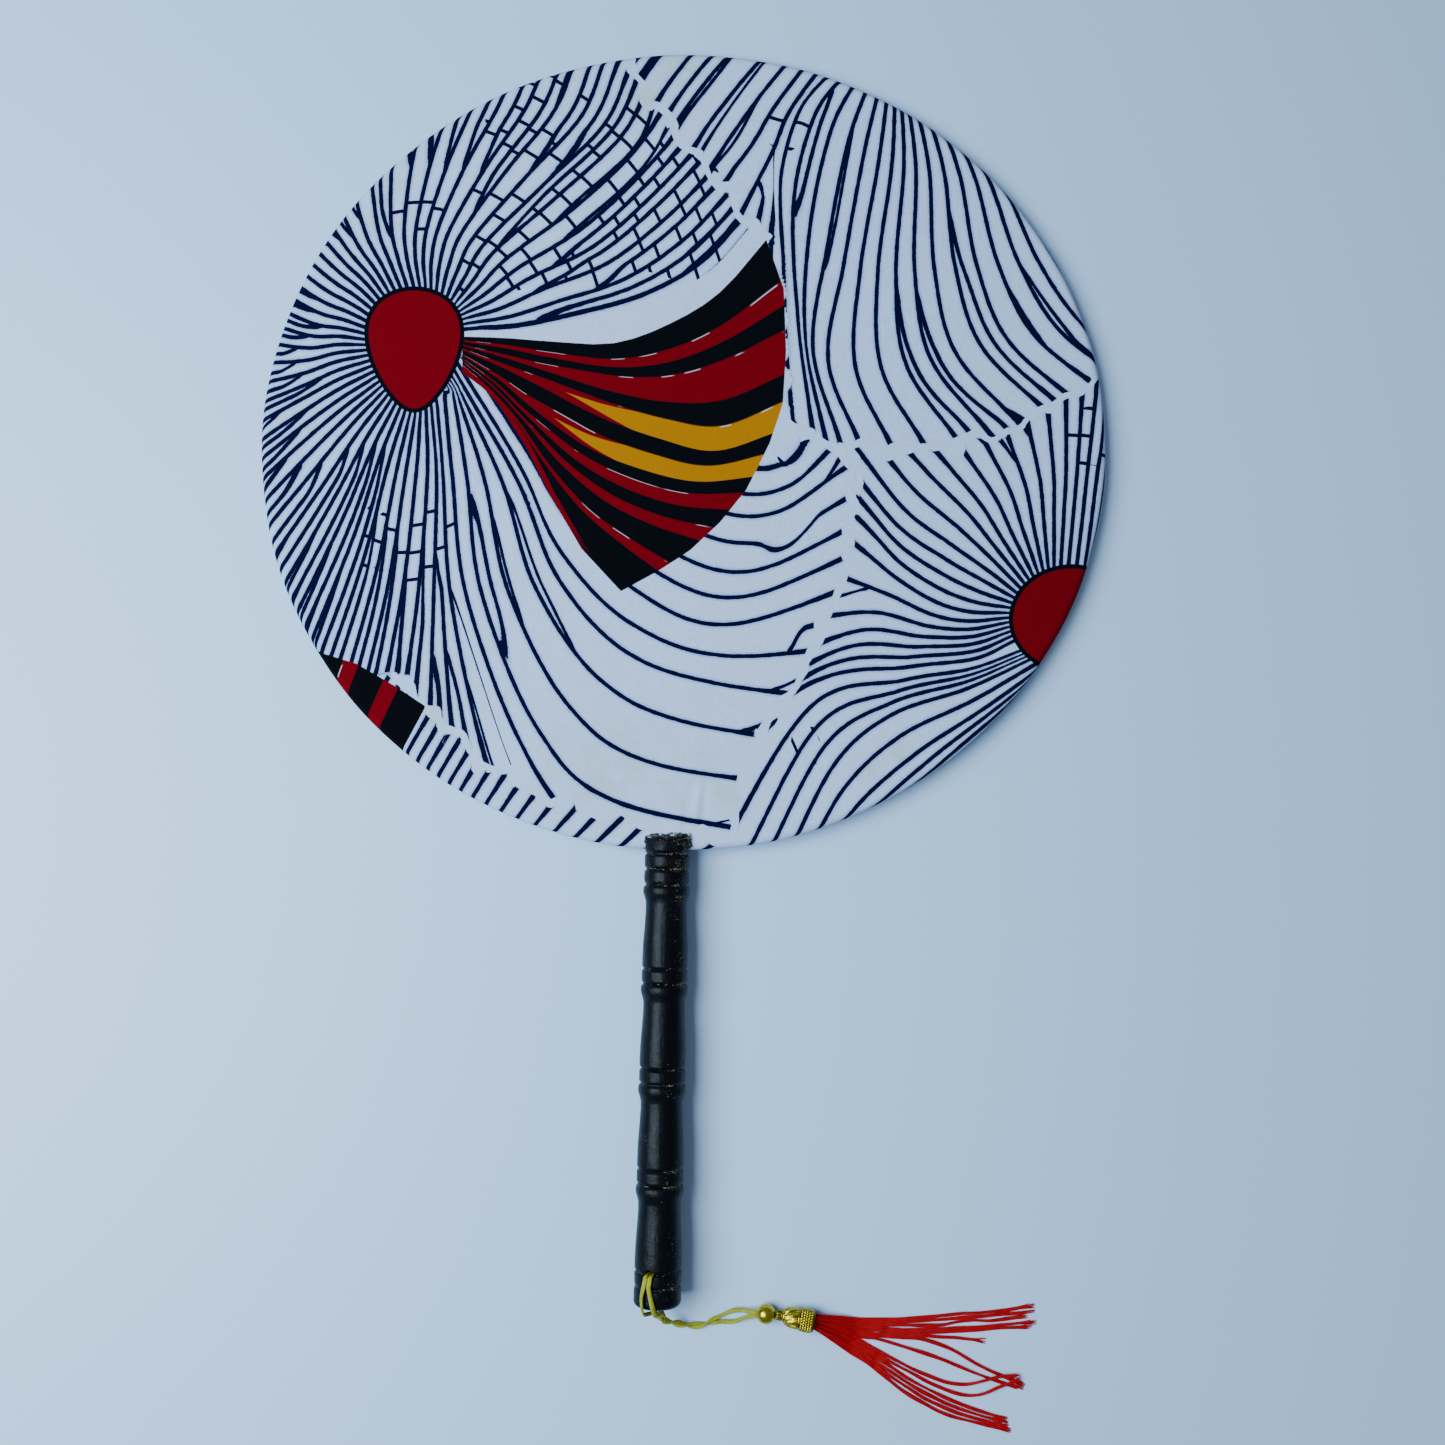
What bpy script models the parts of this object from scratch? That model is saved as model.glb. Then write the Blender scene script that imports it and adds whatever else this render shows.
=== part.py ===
"""A round hand fan: a stiff cloth-covered disc on a turned wooden handle, with a cord, beads and a tassel.

The fan lies face up on a table. Its handle points to -Y and its disc, the blade, to +Y, and the tassel
lies beside the handle's end. It rests on the handle's top band and on the far rim of the blade, so it leans
slightly. The pieces of the fan itself are laid out in the fan's own level frame: x to the right, y from the
handle's top end towards the blade, z out of the blade's front, with the handle's axis along y. The tassel is
laid out on the table.
"""

import math

import bmesh
import bpy
import numpy as np
from mathutils import Matrix, Vector

MM = 0.001

# Blade
BLADE_HALF_WIDTH = 128.1 * MM
BLADE_HALF_HEIGHT = 122.6 * MM
BLADE_TURN = math.radians(4.0)
BLADE_OFFSET = 2.3 * MM
SEAT_DEPTH = 3.6 * MM
BOARD = 1.55 * MM
CLOTH = 0.4 * MM
LAYER_GAP = 0.1 * MM
HEM = 14 * MM
BACK_COVER_INSET = 3 * MM
HEM_STEP = 2 * MM
RIM_POINTS = 60

# Handle
HANDLE_LENGTH = 136 * MM
BAND_RADIUS = 6.7 * MM
BAND_LENGTH = 4.6 * MM
BANDS = 3
SEGMENTS = 4
RING_LENGTH = 4.3 * MM
BUTT_LENGTH = 6.2 * MM
BUTT_RADIUS = 6.95 * MM
GROOVE_DEPTH = 0.45 * MM
EDGE_ROUND = 0.5 * MM
SEGMENT_SWELL = 0.05 * MM
BUTT_ROUND = 1.7 * MM
HANDLE_SIDES = 20
FIT_GAP = 0.3 * MM

# A segment's outline after the ring above it, as (distance from that ring, change of radius), in millimetres:
# the shoulder, its lower edge and the neck. The segment then widens again towards the next ring.
SHOULDER_OUTLINE = [(1.4, 0.2), (3.2, -0.2), (5.2, -0.6)]
WAIST_SHARE, WAIST_DEPTH = 0.55, 0.35 * MM
SEGMENT_END = 1.6 * MM

# Tongue between handle and blade
TONGUE_WIDTH = 8 * MM
TONGUE_THICKNESS = 1.9 * MM
TONGUE_IN_HANDLE = 22 * MM
TONGUE_IN_BLADE = 55 * MM

# Half the length, width and height of a glue line
GLUE_REACH = Vector((5.4, 0.7, 0.65)) * MM

# Hitch: the two strands through the handle
STRAND_RADIUS = 0.6 * MM
HOLE_RADIUS = 1.7 * MM
HOLE_FROM_TOP = 125.8 * MM
HOLE_TURN = math.radians(21)
STRAND_SPACING = 0.72 * MM
KNOT_RADIUS = 1.6 * MM
KNOT_CENTRE = Vector((1.2, -139.2, -1.2)) * MM

# Each strand's own points, in millimetres of the fan's frame: behind the handle from the knot to the hole, in
# the hole as (distance out of the axis, y), and from the hole's front over the butt's end to the knot.
STRAND_BEHIND = {
    "hitch_strand_left": [(0.6, -137.7, -2.7), (1.1, -137.5, -4.4), (1.7, -136.8, -6.3), (2.1, -134.0, -7.6)],
    "hitch_strand_right": [(2.2, -137.7, -2.6), (2.7, -137.5, -4.2), (3.2, -136.8, -5.8), (3.5, -134, -7.1)],
}
STRAND_IN_HOLE = [(-7.8, -127.2), (-6.9, -126.0), (-3.0, -125.7), (3.0, -125.7), (6.9, -126.0), (7.8, -127.2)]
STRAND_IN_FRONT = {
    "hitch_strand_left": [(-3.75, -128.6, 6.95), (-4.3, -131.5, 6.6), (-4.2, -134.2, 6.65)]
    + [(-3.7, -136.7, 5.4), (-2.6, -137.4, 3.2), (-1.3, -137.6, 1.4), (-0.1, -137.7, 0.15)],
    "hitch_strand_right": [(-2.3, -128.9, 7.55), (-1.7, -131.5, 7.75), (-1.0, -134.2, 7.85)]
    + [(-0.3, -136.7, 6.5), (0.5, -137.5, 4.2), (1.1, -137.8, 2.2), (1.35, -137.9, 0.6)],
}
STRAND_STEP = 1.6 * MM

# Cord, beads and tassel, laid out on the table
CORD_RADIUS = 1.2 * MM
SQUEEZED_RADIUS = 0.95 * MM
BEAD_RADIUS = 2.9 * MM
BORE_RADIUS = 1.25 * MM
BEAD_CENTRE = Vector((29.7, -192.5, 2.95)) * MM
CAP_START = Vector((32.9, -192.6, 2.95)) * MM
CAP_HEADING = math.radians(-8.5)
CAP_RISE = math.radians(4.1)
CAP_LENGTH = 11.2 * MM
MOUTH_RADIUS = 2.5 * MM
# The cap's outside from its neck to its mouth, as (radius, distance), in millimetres.
CAP_OUTSIDE = [(1.55, 0), (1.5, 1.6), (2.1, 2.2), (2.7, 3.5), (3.1, 5.5), (3.5, 7.6), (3.6, 9.2), (3.3, 10.7)]
CAP_CAVITY, CAP_LIP = 5.0 * MM, 3.0 * MM
CAP_CONE = 0.8 * MM
HEAD_RADIUS = 2.2 * MM
HEAD_EDGE = 0.5 * MM
HEAD_START, HEAD_END = 5.4 * MM, 9.0 * MM
YARN_RADIUS = 0.3 * MM
YARN_LIE = 0.35 * MM
YARN_ROW = 0.8 * MM
YARN_HALF_SPAN = 1.75 * MM
YARN_STEP = 4.5 * MM

# The cord's own points from the knot to the tassel's head, in millimetres.
CORD_ROUTE = [
    (-0.4, -193.6, 6.6),
    (1.6, -194.6, 4.6),
    (4.6, -196.0, 2.5),
    (7.7, -196.8, 1.5),
    (10.6, -196.7, 1.3),
    (15.0, -195.2, 1.3),
    (19.0, -194.0, 1.5),
    (23.0, -192.9, 2.3),
    (26.4, -192.5, 2.9),
    (29.7, -192.5, 2.95),
    (33.0, -192.6, 2.95),
    (35.4, -193.0, 3.1),
    (37.7, -193.3, 3.3),
]
SQUEEZED_FROM = 25.5 * MM

# Each yarn's own points from the tassel's spread to its cut end, in millimetres. A point of two numbers lies
# on the table, and the third number lifts a yarn that crosses others.
YARN_ROUTES = [
    [(59.0, -194.2), (73.0, -193.8), (88.0, -192.1), (98.5, -191.2), (109.5, -189.3)],
    [(59.0, -194.9), (73.0, -194.7), (83.0, -193.8), (91.0, -193.0), (98.5, -192.3), (109.5, -191.0)],
    [(59.0, -195.7), (73.0, -195.8), (81.5, -195.6), (87.0, -194.5), (92.0, -194.0), (97.5, -193.9)]
    + [(107.6, -192.3)],
    [(59.0, -196.4), (70.0, -197.0), (80.5, -196.8), (91.0, -196.1), (101.0, -195.0), (110.0, -194.0)],
    [(59.0, -197.2), (70.0, -197.8), (80.5, -197.6), (91.0, -197.0), (101.0, -196.0), (108.7, -195.4)],
    [(58.6, -198.0), (70.0, -198.7), (81.0, -198.9), (88.0, -199.3), (95.0, -200.0)],
    [(58.5, -198.7), (70.0, -199.5), (76.5, -199.9), (84.7, -202.4), (93.4, -207.2), (98.6, -209.4)]
    + [(106.8, -212.6)],
    [(58.5, -199.5), (64.0, -200.2), (73.0, -202.7), (80.6, -205.0), (88.3, -207.9), (96.0, -210.7)]
    + [(106.3, -213.7)],
    [(57.6, -200.5), (66.0, -204.8), (73.0, -208.2), (80.7, -211.3), (85.0, -212.4), (89.9, -212.7)]
    + [(94.5, -211.3, 1.05), (99.1, -209.9, 1.2), (105.2, -209.5, 1.1)],
    [(57.5, -201.4), (66.0, -206.1), (73.0, -209.6), (79.7, -212.8), (86.0, -215.2), (91.0, -215.9)]
    + [(95.0, -215.0, 0.9), (99.1, -212.9, 1.2), (103.7, -211.1, 1.2), (105.4, -210.5, 1.1)],
    [(57.1, -202.1), (66.0, -207.3), (73.0, -211.7), (80.7, -215.5), (88.4, -218.6), (95.0, -220.7)]
    + [(101.7, -222.4)],
    [(56.6, -202.8), (65.3, -208.3), (72.5, -212.8), (79.7, -216.6), (87.4, -219.7), (94.6, -221.8)]
    + [(101.9, -223.4)],
    [(56.1, -203.4), (64.7, -209.2), (71.8, -213.8), (78.8, -217.7), (86.4, -220.8), (94.1, -222.9)]
    + [(102.0, -224.4)],
    [(54.6, -203.8), (60.0, -207.0), (65.0, -210.6), (70.5, -214.7), (76.2, -218.0), (85.0, -221.9)]
    + [(102.8, -225.7)],
]

board_face = LAYER_GAP / 2 + BOARD
cover_inside = board_face + LAYER_GAP
cover_outside = cover_inside + CLOTH
back_face = cover_outside + LAYER_GAP + CLOTH
half_reach = math.hypot(BLADE_HALF_WIDTH * math.sin(BLADE_TURN), BLADE_HALF_HEIGHT * math.cos(BLADE_TURN))
blade_centre = Vector((BLADE_OFFSET, half_reach - SEAT_DEPTH, 0))
blade_top = blade_centre.y + half_reach
lean = math.atan((BAND_RADIUS - back_face) / (blade_top - BACK_COVER_INSET))


def fan_matrix():
    """The fan's own frame as it lies: its box is centred on the origin in plan and stands on z = 0."""
    middle = (blade_top - HANDLE_LENGTH) / 2 * math.cos(lean)
    place = Matrix.Translation((-BLADE_OFFSET, -middle, BAND_RADIUS * math.cos(lean)))
    return place @ Matrix.Rotation(-lean, 4, "X")


def clear_scene():
    for old in list(bpy.data.objects):
        bpy.data.objects.remove(old)


def finish(obj, colour, roughness, metallic=0.0):
    """Gives an object its own material."""
    material = bpy.data.materials.new(obj.name)
    material.use_nodes = True
    shader = material.node_tree.nodes["Principled BSDF"]
    shader.inputs["Base Color"].default_value = (*colour, 1)
    shader.inputs["Roughness"].default_value = roughness
    shader.inputs["Metallic"].default_value = metallic
    obj.data.materials.append(material)
    return obj


def empty(name, matrix):
    obj = bpy.data.objects.new(name, None)
    obj.matrix_world = matrix
    bpy.context.collection.objects.link(obj)
    return obj


def mesh_object(name, bm, parent, smooth=True):
    """Turns a bmesh into an object that is placed in its parent's frame."""
    bmesh.ops.recalc_face_normals(bm, faces=bm.faces)
    mesh = bpy.data.meshes.new(name)
    bm.to_mesh(mesh)
    bm.free()
    if smooth:
        mesh.shade_smooth()
        mesh.set_sharp_from_angle(angle=math.radians(40))
    obj = bpy.data.objects.new(name, mesh)
    obj.parent = parent
    bpy.context.collection.objects.link(obj)
    return obj


def cut(obj, cutter):
    modifier = obj.modifiers.new(cutter.name, "BOOLEAN")
    modifier.operation = "DIFFERENCE"
    modifier.object = cutter


def as_cutter(obj):
    obj.hide_render = True
    obj.display_type = "WIRE"
    return obj


def block(name, low, high, parent):
    """A box between two corners."""
    bm = bmesh.new()
    size = Vector(high) - Vector(low)
    place = Matrix.Translation((Vector(high) + Vector(low)) / 2) @ Matrix.Diagonal((*size, 1))
    bmesh.ops.create_cube(bm, size=1, matrix=place)
    return mesh_object(name, bm, parent, smooth=False)


def turned(name, profile, sides, parent, matrix):
    """A profile of (radius, height) points, top to bottom on its outer side, spun round Z and then placed."""
    bm = bmesh.new()
    points = [bm.verts.new((radius, 0, height)) for radius, height in profile]
    edges = [bm.edges.new(pair) for pair in zip(points, points[1:])]
    if profile[0][0] > 0:
        edges.append(bm.edges.new((points[-1], points[0])))
    bmesh.ops.spin(
        bm, geom=points + edges, cent=(0, 0, 0), axis=(0, 0, 1), angle=math.tau, steps=sides, use_merge=True
    )
    bmesh.ops.remove_doubles(bm, verts=bm.verts, dist=1e-6)
    bmesh.ops.transform(bm, matrix=matrix, verts=bm.verts)
    return mesh_object(name, bm, parent)


def rim_point(angle, inset):
    """A point of the blade's oval outline, moved inwards by the inset."""
    along = Vector((BLADE_HALF_WIDTH * math.cos(angle), BLADE_HALF_HEIGHT * math.sin(angle)))
    outward = Vector((math.cos(angle) / BLADE_HALF_WIDTH, math.sin(angle) / BLADE_HALF_HEIGHT)).normalized()
    point = Matrix.Rotation(BLADE_TURN, 2) @ (along - outward * inset)
    return blade_centre + Vector((*point, 0))


def blade_layer(name, profile, parent):
    """A layer of the blade: its profile of (inset, z) points carried round the outline, both ends closed."""
    bm = bmesh.new()
    angles = [math.tau * i / RIM_POINTS for i in range(RIM_POINTS)]
    rings = []
    for inset, z in profile:
        rings.append([bm.verts.new(rim_point(angle, inset) + Vector((0, 0, z))) for angle in angles])
    for upper, lower in zip(rings, rings[1:]):
        for i in range(RIM_POINTS):
            j = (i + 1) % RIM_POINTS
            bm.faces.new((upper[i], lower[i], lower[j], upper[j]))
    bm.faces.new(rings[0])
    bm.faces.new(rings[-1][::-1])
    return mesh_object(name, bm, parent)


def round_edge(radius, start, end, steps):
    """Points of (inset, z) along the blade's rounded edge, at this radius about the edge's centre line."""
    angles = [start + (end - start) * i / steps for i in range(steps + 1)]
    return [(cover_outside - radius * math.cos(angle), radius * math.sin(angle)) for angle in angles]


def smooth_route(points, step):
    """Points at even steps along a smooth curve through the given ones (a Catmull-Rom spline)."""
    route = np.array([tuple(p) for p in points])
    ends = np.vstack([2 * route[0] - route[1], route, 2 * route[-1] - route[-2]])
    t = np.linspace(0, 1, 20, endpoint=False)[:, None]
    runs = []
    for a, b, c, d in zip(ends, ends[1:], ends[2:], ends[3:]):
        runs.append(b + t / 2 * ((c - a) + t * ((2 * a - 5 * b + 4 * c - d) + t * (3 * b - a - 3 * c + d))))
    fine = np.vstack([*runs, route[-1:]])
    along = np.concatenate([[0], np.cumsum(np.linalg.norm(np.diff(fine, axis=0), axis=1))])
    places = np.linspace(0, along[-1], max(3, round(along[-1] / step)) + 1)
    return np.column_stack([np.interp(places, along, fine[:, axis]) for axis in range(3)])


def tube(name, points, radius, parent, narrow=None):
    """A closed tube along the points. The narrow function gives a point's share of the radius."""
    curve = bpy.data.curves.new(name, "CURVE")
    curve.dimensions = "3D"
    curve.bevel_depth = radius
    curve.bevel_resolution = 2
    curve.use_fill_caps = True
    spline = curve.splines.new("POLY")
    spline.points.add(len(points) - 1)
    for spot, point in zip(spline.points, points):
        spot.co = (*point, 1)
        spot.radius = narrow(point) if narrow else 1
    obj = bpy.data.objects.new(name, curve)
    obj.parent = parent
    bpy.context.collection.objects.link(obj)
    return obj


def build_blade(fan):
    """Two boards with a covering of cloth on each side, cleared inside for the tongue."""
    half_width = TONGUE_WIDTH / 2 + FIT_GAP
    half_thickness = TONGUE_THICKNESS / 2 + FIT_GAP
    tongue_space = as_cutter(
        block(
            "tongue_space",
            (-half_width, -TONGUE_IN_HANDLE - FIT_GAP, -half_thickness),
            (half_width, TONGUE_IN_BLADE + FIT_GAP, half_thickness),
            fan,
        )
    )
    quarter = math.pi / 2
    board = round_edge(board_face, quarter, math.asin(LAYER_GAP / 2 / board_face), 3)
    front_board = blade_layer("front_board", board, fan)
    back_board = blade_layer("back_board", [(inset, -z) for inset, z in reversed(board)], fan)
    hem = [(HEM, -cover_outside), (HEM, -cover_inside)]
    outside = round_edge(cover_outside, quarter, -quarter, 6)
    inside = round_edge(cover_inside, -quarter, quarter, 5)
    front_cover = blade_layer("front_cover", outside + hem + inside, fan)
    over_hem = cover_outside + LAYER_GAP
    back_profile = [
        (HEM + HEM_STEP, -cover_inside),
        (HEM + FIT_GAP, -over_hem),
        (BACK_COVER_INSET, -over_hem),
        (BACK_COVER_INSET, -back_face),
        (HEM + FIT_GAP, -back_face),
        (HEM + HEM_STEP, -cover_outside),
    ]
    back_cover = blade_layer("back_cover", back_profile, fan)
    for piece in (front_board, back_board, front_cover):
        cut(piece, tongue_space)
    tongue = block(
        "tongue",
        (-TONGUE_WIDTH / 2, -TONGUE_IN_HANDLE, -TONGUE_THICKNESS / 2),
        (TONGUE_WIDTH / 2, TONGUE_IN_BLADE, TONGUE_THICKNESS / 2),
        fan,
    )
    for piece in (front_cover, back_cover):
        finish(piece, (0.62, 0.66, 0.72), 0.85)
    for piece in (front_board, back_board):
        finish(piece, (0.45, 0.34, 0.22), 0.9)
    finish(tongue, (0.55, 0.40, 0.22), 0.6)
    return tongue_space


def handle_profile():
    """The turned outline from the top end to the butt: bands, then bamboo-like segments and their rings."""
    profile = [(0, 0), (BAND_RADIUS - EDGE_ROUND, 0)]
    at = 0.0

    def band(length, radius):
        nonlocal at
        profile.append((radius, at - EDGE_ROUND))
        profile.append((radius, at - length + EDGE_ROUND))
        at -= length
        profile.append((radius - GROOVE_DEPTH, at))

    for _ in range(BANDS):
        band(BAND_LENGTH, BAND_RADIUS - SEGMENT_SWELL)
    pitch = (HANDLE_LENGTH - BUTT_LENGTH - BANDS * BAND_LENGTH) / SEGMENTS
    length = pitch - RING_LENGTH
    for number in range(SEGMENTS):
        radius = BAND_RADIUS + number * SEGMENT_SWELL
        for along, change in SHOULDER_OUTLINE:
            profile.append((radius + change * MM, at - along * MM))
        profile.append((radius - WAIST_DEPTH, at - length * WAIST_SHARE))
        profile.append((radius, at - length + SEGMENT_END))
        at -= length
        profile.append((radius - GROOVE_DEPTH, at))
        band(RING_LENGTH, radius + SEGMENT_SWELL)
    profile.append((BUTT_RADIUS, at - 2 * EDGE_ROUND))
    profile.append((BUTT_RADIUS, -HANDLE_LENGTH + BUTT_ROUND))
    profile.append((BUTT_RADIUS - EDGE_ROUND, -HANDLE_LENGTH + EDGE_ROUND))
    profile.append((BUTT_RADIUS - BUTT_ROUND, -HANDLE_LENGTH))
    profile.append((0, -HANDLE_LENGTH))
    return profile


def hole_axis():
    """The direction of the cord hole, from the back of the handle to its front."""
    return Vector((-math.sin(HOLE_TURN), 0, math.cos(HOLE_TURN)))


def build_handle(fan, tongue_space):
    """The handle with its slot for the blade, its mortise for the tongue and its cord hole."""
    along_y = Matrix.Rotation(-math.pi / 2, 4, "X")
    handle = turned("handle", handle_profile(), HANDLE_SIDES, fan, along_y)
    slot = as_cutter(
        block(
            "blade_slot",
            (-2 * BAND_RADIUS, -SEAT_DEPTH - FIT_GAP, -back_face - FIT_GAP),
            (2 * BAND_RADIUS, BAND_RADIUS, cover_outside + FIT_GAP),
            fan,
        )
    )
    bm = bmesh.new()
    bmesh.ops.create_cone(
        bm, cap_ends=True, segments=12, radius1=HOLE_RADIUS, radius2=HOLE_RADIUS, depth=4 * BAND_RADIUS
    )
    turn = Matrix.Rotation(-HOLE_TURN, 4, "Y")
    bmesh.ops.transform(bm, matrix=Matrix.Translation((0, -HOLE_FROM_TOP, 0)) @ turn, verts=bm.verts)
    hole = as_cutter(mesh_object("cord_hole", bm, fan))
    for cutter in (slot, tongue_space, hole):
        cut(handle, cutter)
    finish(handle, (0.006, 0.007, 0.010), 0.25)


def build_glue(fan):
    """A line of dried glue along the slot's mouth, on the front and on the back."""
    for name, level in (("glue_front", cover_outside), ("glue_back", -back_face)):
        height = level + math.copysign(GLUE_REACH.z + LAYER_GAP, level)
        bm = bmesh.new()
        place = Matrix.Translation((0, GLUE_REACH.y + FIT_GAP, height)) @ Matrix.Diagonal((*GLUE_REACH, 1))
        bmesh.ops.create_uvsphere(bm, u_segments=12, v_segments=6, radius=1, matrix=place)
        finish(mesh_object(name, bm, fan), (0.35, 0.29, 0.16), 0.35)


def build_hitch(fan):
    """Two strands through the hole. Both run over the butt's end, in front and behind, to the knot."""
    axis = hole_axis()
    across = Vector((math.cos(HOLE_TURN), 0, math.sin(HOLE_TURN)))
    for side, name in ((-1, "hitch_strand_left"), (1, "hitch_strand_right")):
        points = [Vector(p) * MM for p in STRAND_BEHIND[name]]
        for depth, y in STRAND_IN_HOLE:
            points.append(axis * depth * MM + across * side * STRAND_SPACING + Vector((0, y * MM, 0)))
        points += [Vector(p) * MM for p in STRAND_IN_FRONT[name]]
        strand = tube(name, smooth_route(points, STRAND_STEP), STRAND_RADIUS, fan)
        finish(strand, (0.30, 0.29, 0.035), 0.6)


def cap_frame():
    """The bead cap's frame: its Z runs from the neck to the mouth, its Y is level."""
    heading = Matrix.Rotation(CAP_HEADING, 4, "Z")
    rise = Matrix.Rotation(math.pi / 2 - CAP_RISE, 4, "Y")
    return Matrix.Translation(CAP_START) @ heading @ rise


def local_to(parent, matrix):
    return parent.matrix_world.inverted() @ matrix


def build_knot(swing):
    """The crossing of the hitch round the doubled cord, centred on the swing's axis."""
    bm = bmesh.new()
    bmesh.ops.create_uvsphere(bm, u_segments=12, v_segments=8, radius=KNOT_RADIUS)
    finish(mesh_object("hitch_knot", bm, swing), (0.30, 0.29, 0.035), 0.6)


def build_cord(lift):
    """The doubled cord from the knot to the tassel's head. It is squeezed where it passes the beads."""
    centre = lift.matrix_world.translation
    first = Vector(CORD_ROUTE[0]) * MM
    start = centre + (first - centre).normalized() * (KNOT_RADIUS + FIT_GAP)
    route = smooth_route([start, *(Vector(p) * MM for p in CORD_ROUTE[1:])], 2 * CORD_RADIUS)
    squeezed = SQUEEZED_RADIUS / CORD_RADIUS

    def narrow(point):
        return squeezed if point[0] + centre.x > SQUEEZED_FROM else 1

    cord = tube("tassel_cord", [Vector(p) - centre for p in route], CORD_RADIUS, lift, narrow)
    finish(cord, (0.30, 0.29, 0.035), 0.6)


def build_beads(lift, spin):
    """The ball, which turns on the cord, and the cap that covers the tassel's head."""
    steps = 10
    reach = math.acos(BORE_RADIUS / BEAD_RADIUS)
    angles = [reach - 2 * reach * i / steps for i in range(steps + 1)]
    ball_profile = [(BEAD_RADIUS * math.cos(a), BEAD_RADIUS * math.sin(a)) for a in angles]
    along_x = Matrix.Rotation(math.pi / 2, 4, "Y")
    ball = turned("ball_bead", ball_profile, 16, spin, along_x)
    cap_profile = [(radius * MM, along * MM) for radius, along in CAP_OUTSIDE]
    cap_profile += [(CAP_LIP, CAP_LENGTH), (MOUTH_RADIUS, CAP_LENGTH), (MOUTH_RADIUS, CAP_CAVITY)]
    cap_profile += [(BORE_RADIUS, CAP_CAVITY - CAP_CONE), (BORE_RADIUS, 0)]
    cap = turned("bead_cap", cap_profile, 16, lift, local_to(lift, cap_frame()))
    for piece in (ball, cap):
        finish(piece, (0.72, 0.50, 0.06), 0.2, 1.0)


def build_tassel(lift):
    """The bound head inside the cap and the yarns that spread from its mouth over the table."""
    frame = cap_frame()
    head_profile = [
        (0, HEAD_END),
        (HEAD_RADIUS, HEAD_END),
        (HEAD_RADIUS, HEAD_START + HEAD_EDGE),
        (HEAD_RADIUS - HEAD_EDGE, HEAD_START),
        (0, HEAD_START),
    ]
    head = turned("tassel_head", head_profile, 12, lift, local_to(lift, frame))
    finish(head, (0.36, 0.012, 0.012), 0.7)
    centre = lift.matrix_world.translation
    for number, route in enumerate(YARN_ROUTES):
        row = (number % 3 - 1) * YARN_ROW
        column = YARN_HALF_SPAN * (1 - 2 * number / (len(YARN_ROUTES) - 1))
        start = frame @ Vector((-row, column, HEAD_END + FIT_GAP))
        mouth = frame @ Vector((-row, column, CAP_LENGTH + FIT_GAP))
        spread = [Vector((*p[:2], p[2] if len(p) > 2 else YARN_LIE / MM)) * MM for p in route]
        half_way = (mouth + spread[0]) / 2
        points = [start, mouth, half_way, *spread]
        points = [Vector(p) - centre for p in smooth_route(points, YARN_STEP)]
        yarn = tube(f"thread_{number + 1:02d}", points, YARN_RADIUS, lift)
        finish(yarn, (0.36, 0.012, 0.012), 0.7)


def main():
    clear_scene()
    fan = empty("fan_lie", fan_matrix())
    knot_centre = fan_matrix() @ KNOT_CENTRE
    swing = empty("tassel_swing", Matrix.Translation(knot_centre))
    lift = empty("tassel_lift", Matrix.Translation(knot_centre))
    spin = empty("bead_spin", Matrix.Translation(BEAD_CENTRE))
    bpy.context.view_layer.update()
    tongue_space = build_blade(fan)
    build_handle(fan, tongue_space)
    build_glue(fan)
    build_hitch(fan)
    build_knot(swing)
    build_cord(lift)
    build_beads(lift, spin)
    build_tassel(lift)


main()
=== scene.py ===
"""The looks of a round hand fan: printed cloth on a stiff disc, a turned handle, a cord, beads and a tassel.

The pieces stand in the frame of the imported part, in metres. Lengths are written in millimetres, times MM.
The fan's own frame has x to the right, y from the handle's top end towards the blade, and z out of the
blade's front.
"""

import math

import bmesh
import bpy
import numpy as np
from mathutils import Matrix, Vector
from mathutils.kdtree import KDTree


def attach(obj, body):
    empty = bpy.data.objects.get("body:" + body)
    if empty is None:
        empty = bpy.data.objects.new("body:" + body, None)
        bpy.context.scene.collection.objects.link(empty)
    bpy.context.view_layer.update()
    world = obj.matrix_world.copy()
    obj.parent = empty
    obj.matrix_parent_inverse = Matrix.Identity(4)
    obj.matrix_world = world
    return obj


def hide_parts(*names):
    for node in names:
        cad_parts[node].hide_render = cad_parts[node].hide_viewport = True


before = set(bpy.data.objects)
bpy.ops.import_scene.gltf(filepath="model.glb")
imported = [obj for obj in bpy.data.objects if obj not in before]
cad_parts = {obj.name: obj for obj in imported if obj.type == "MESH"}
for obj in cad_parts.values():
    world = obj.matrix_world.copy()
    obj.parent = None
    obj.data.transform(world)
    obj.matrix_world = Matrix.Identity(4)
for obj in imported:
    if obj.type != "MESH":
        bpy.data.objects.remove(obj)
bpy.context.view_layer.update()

MM = 0.001

# ----------------------------------------------------------------------------------------------------
# Sizes shared with the CAD part, in millimetres
# ----------------------------------------------------------------------------------------------------

BLADE_HALF_WIDTH, BLADE_HALF_HEIGHT = 128.1, 122.6
BLADE_TURN = math.radians(4.0)
BLADE_OFFSET = 2.3
SEAT_DEPTH = 3.6
EDGE_RADIUS = 2.1
BACK_FACE = 2.6
HEM = 14.0
BACK_COVER_INSET = 3.0
HANDLE_LENGTH = 136.0
BAND_RADIUS = 6.7
HOLE_FROM_TOP = 125.8
HOLE_RADIUS = 1.7
HOLE_TURN = math.radians(21)
FIT_GAP = 0.3
TABLE_GAP = 0.02

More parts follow.
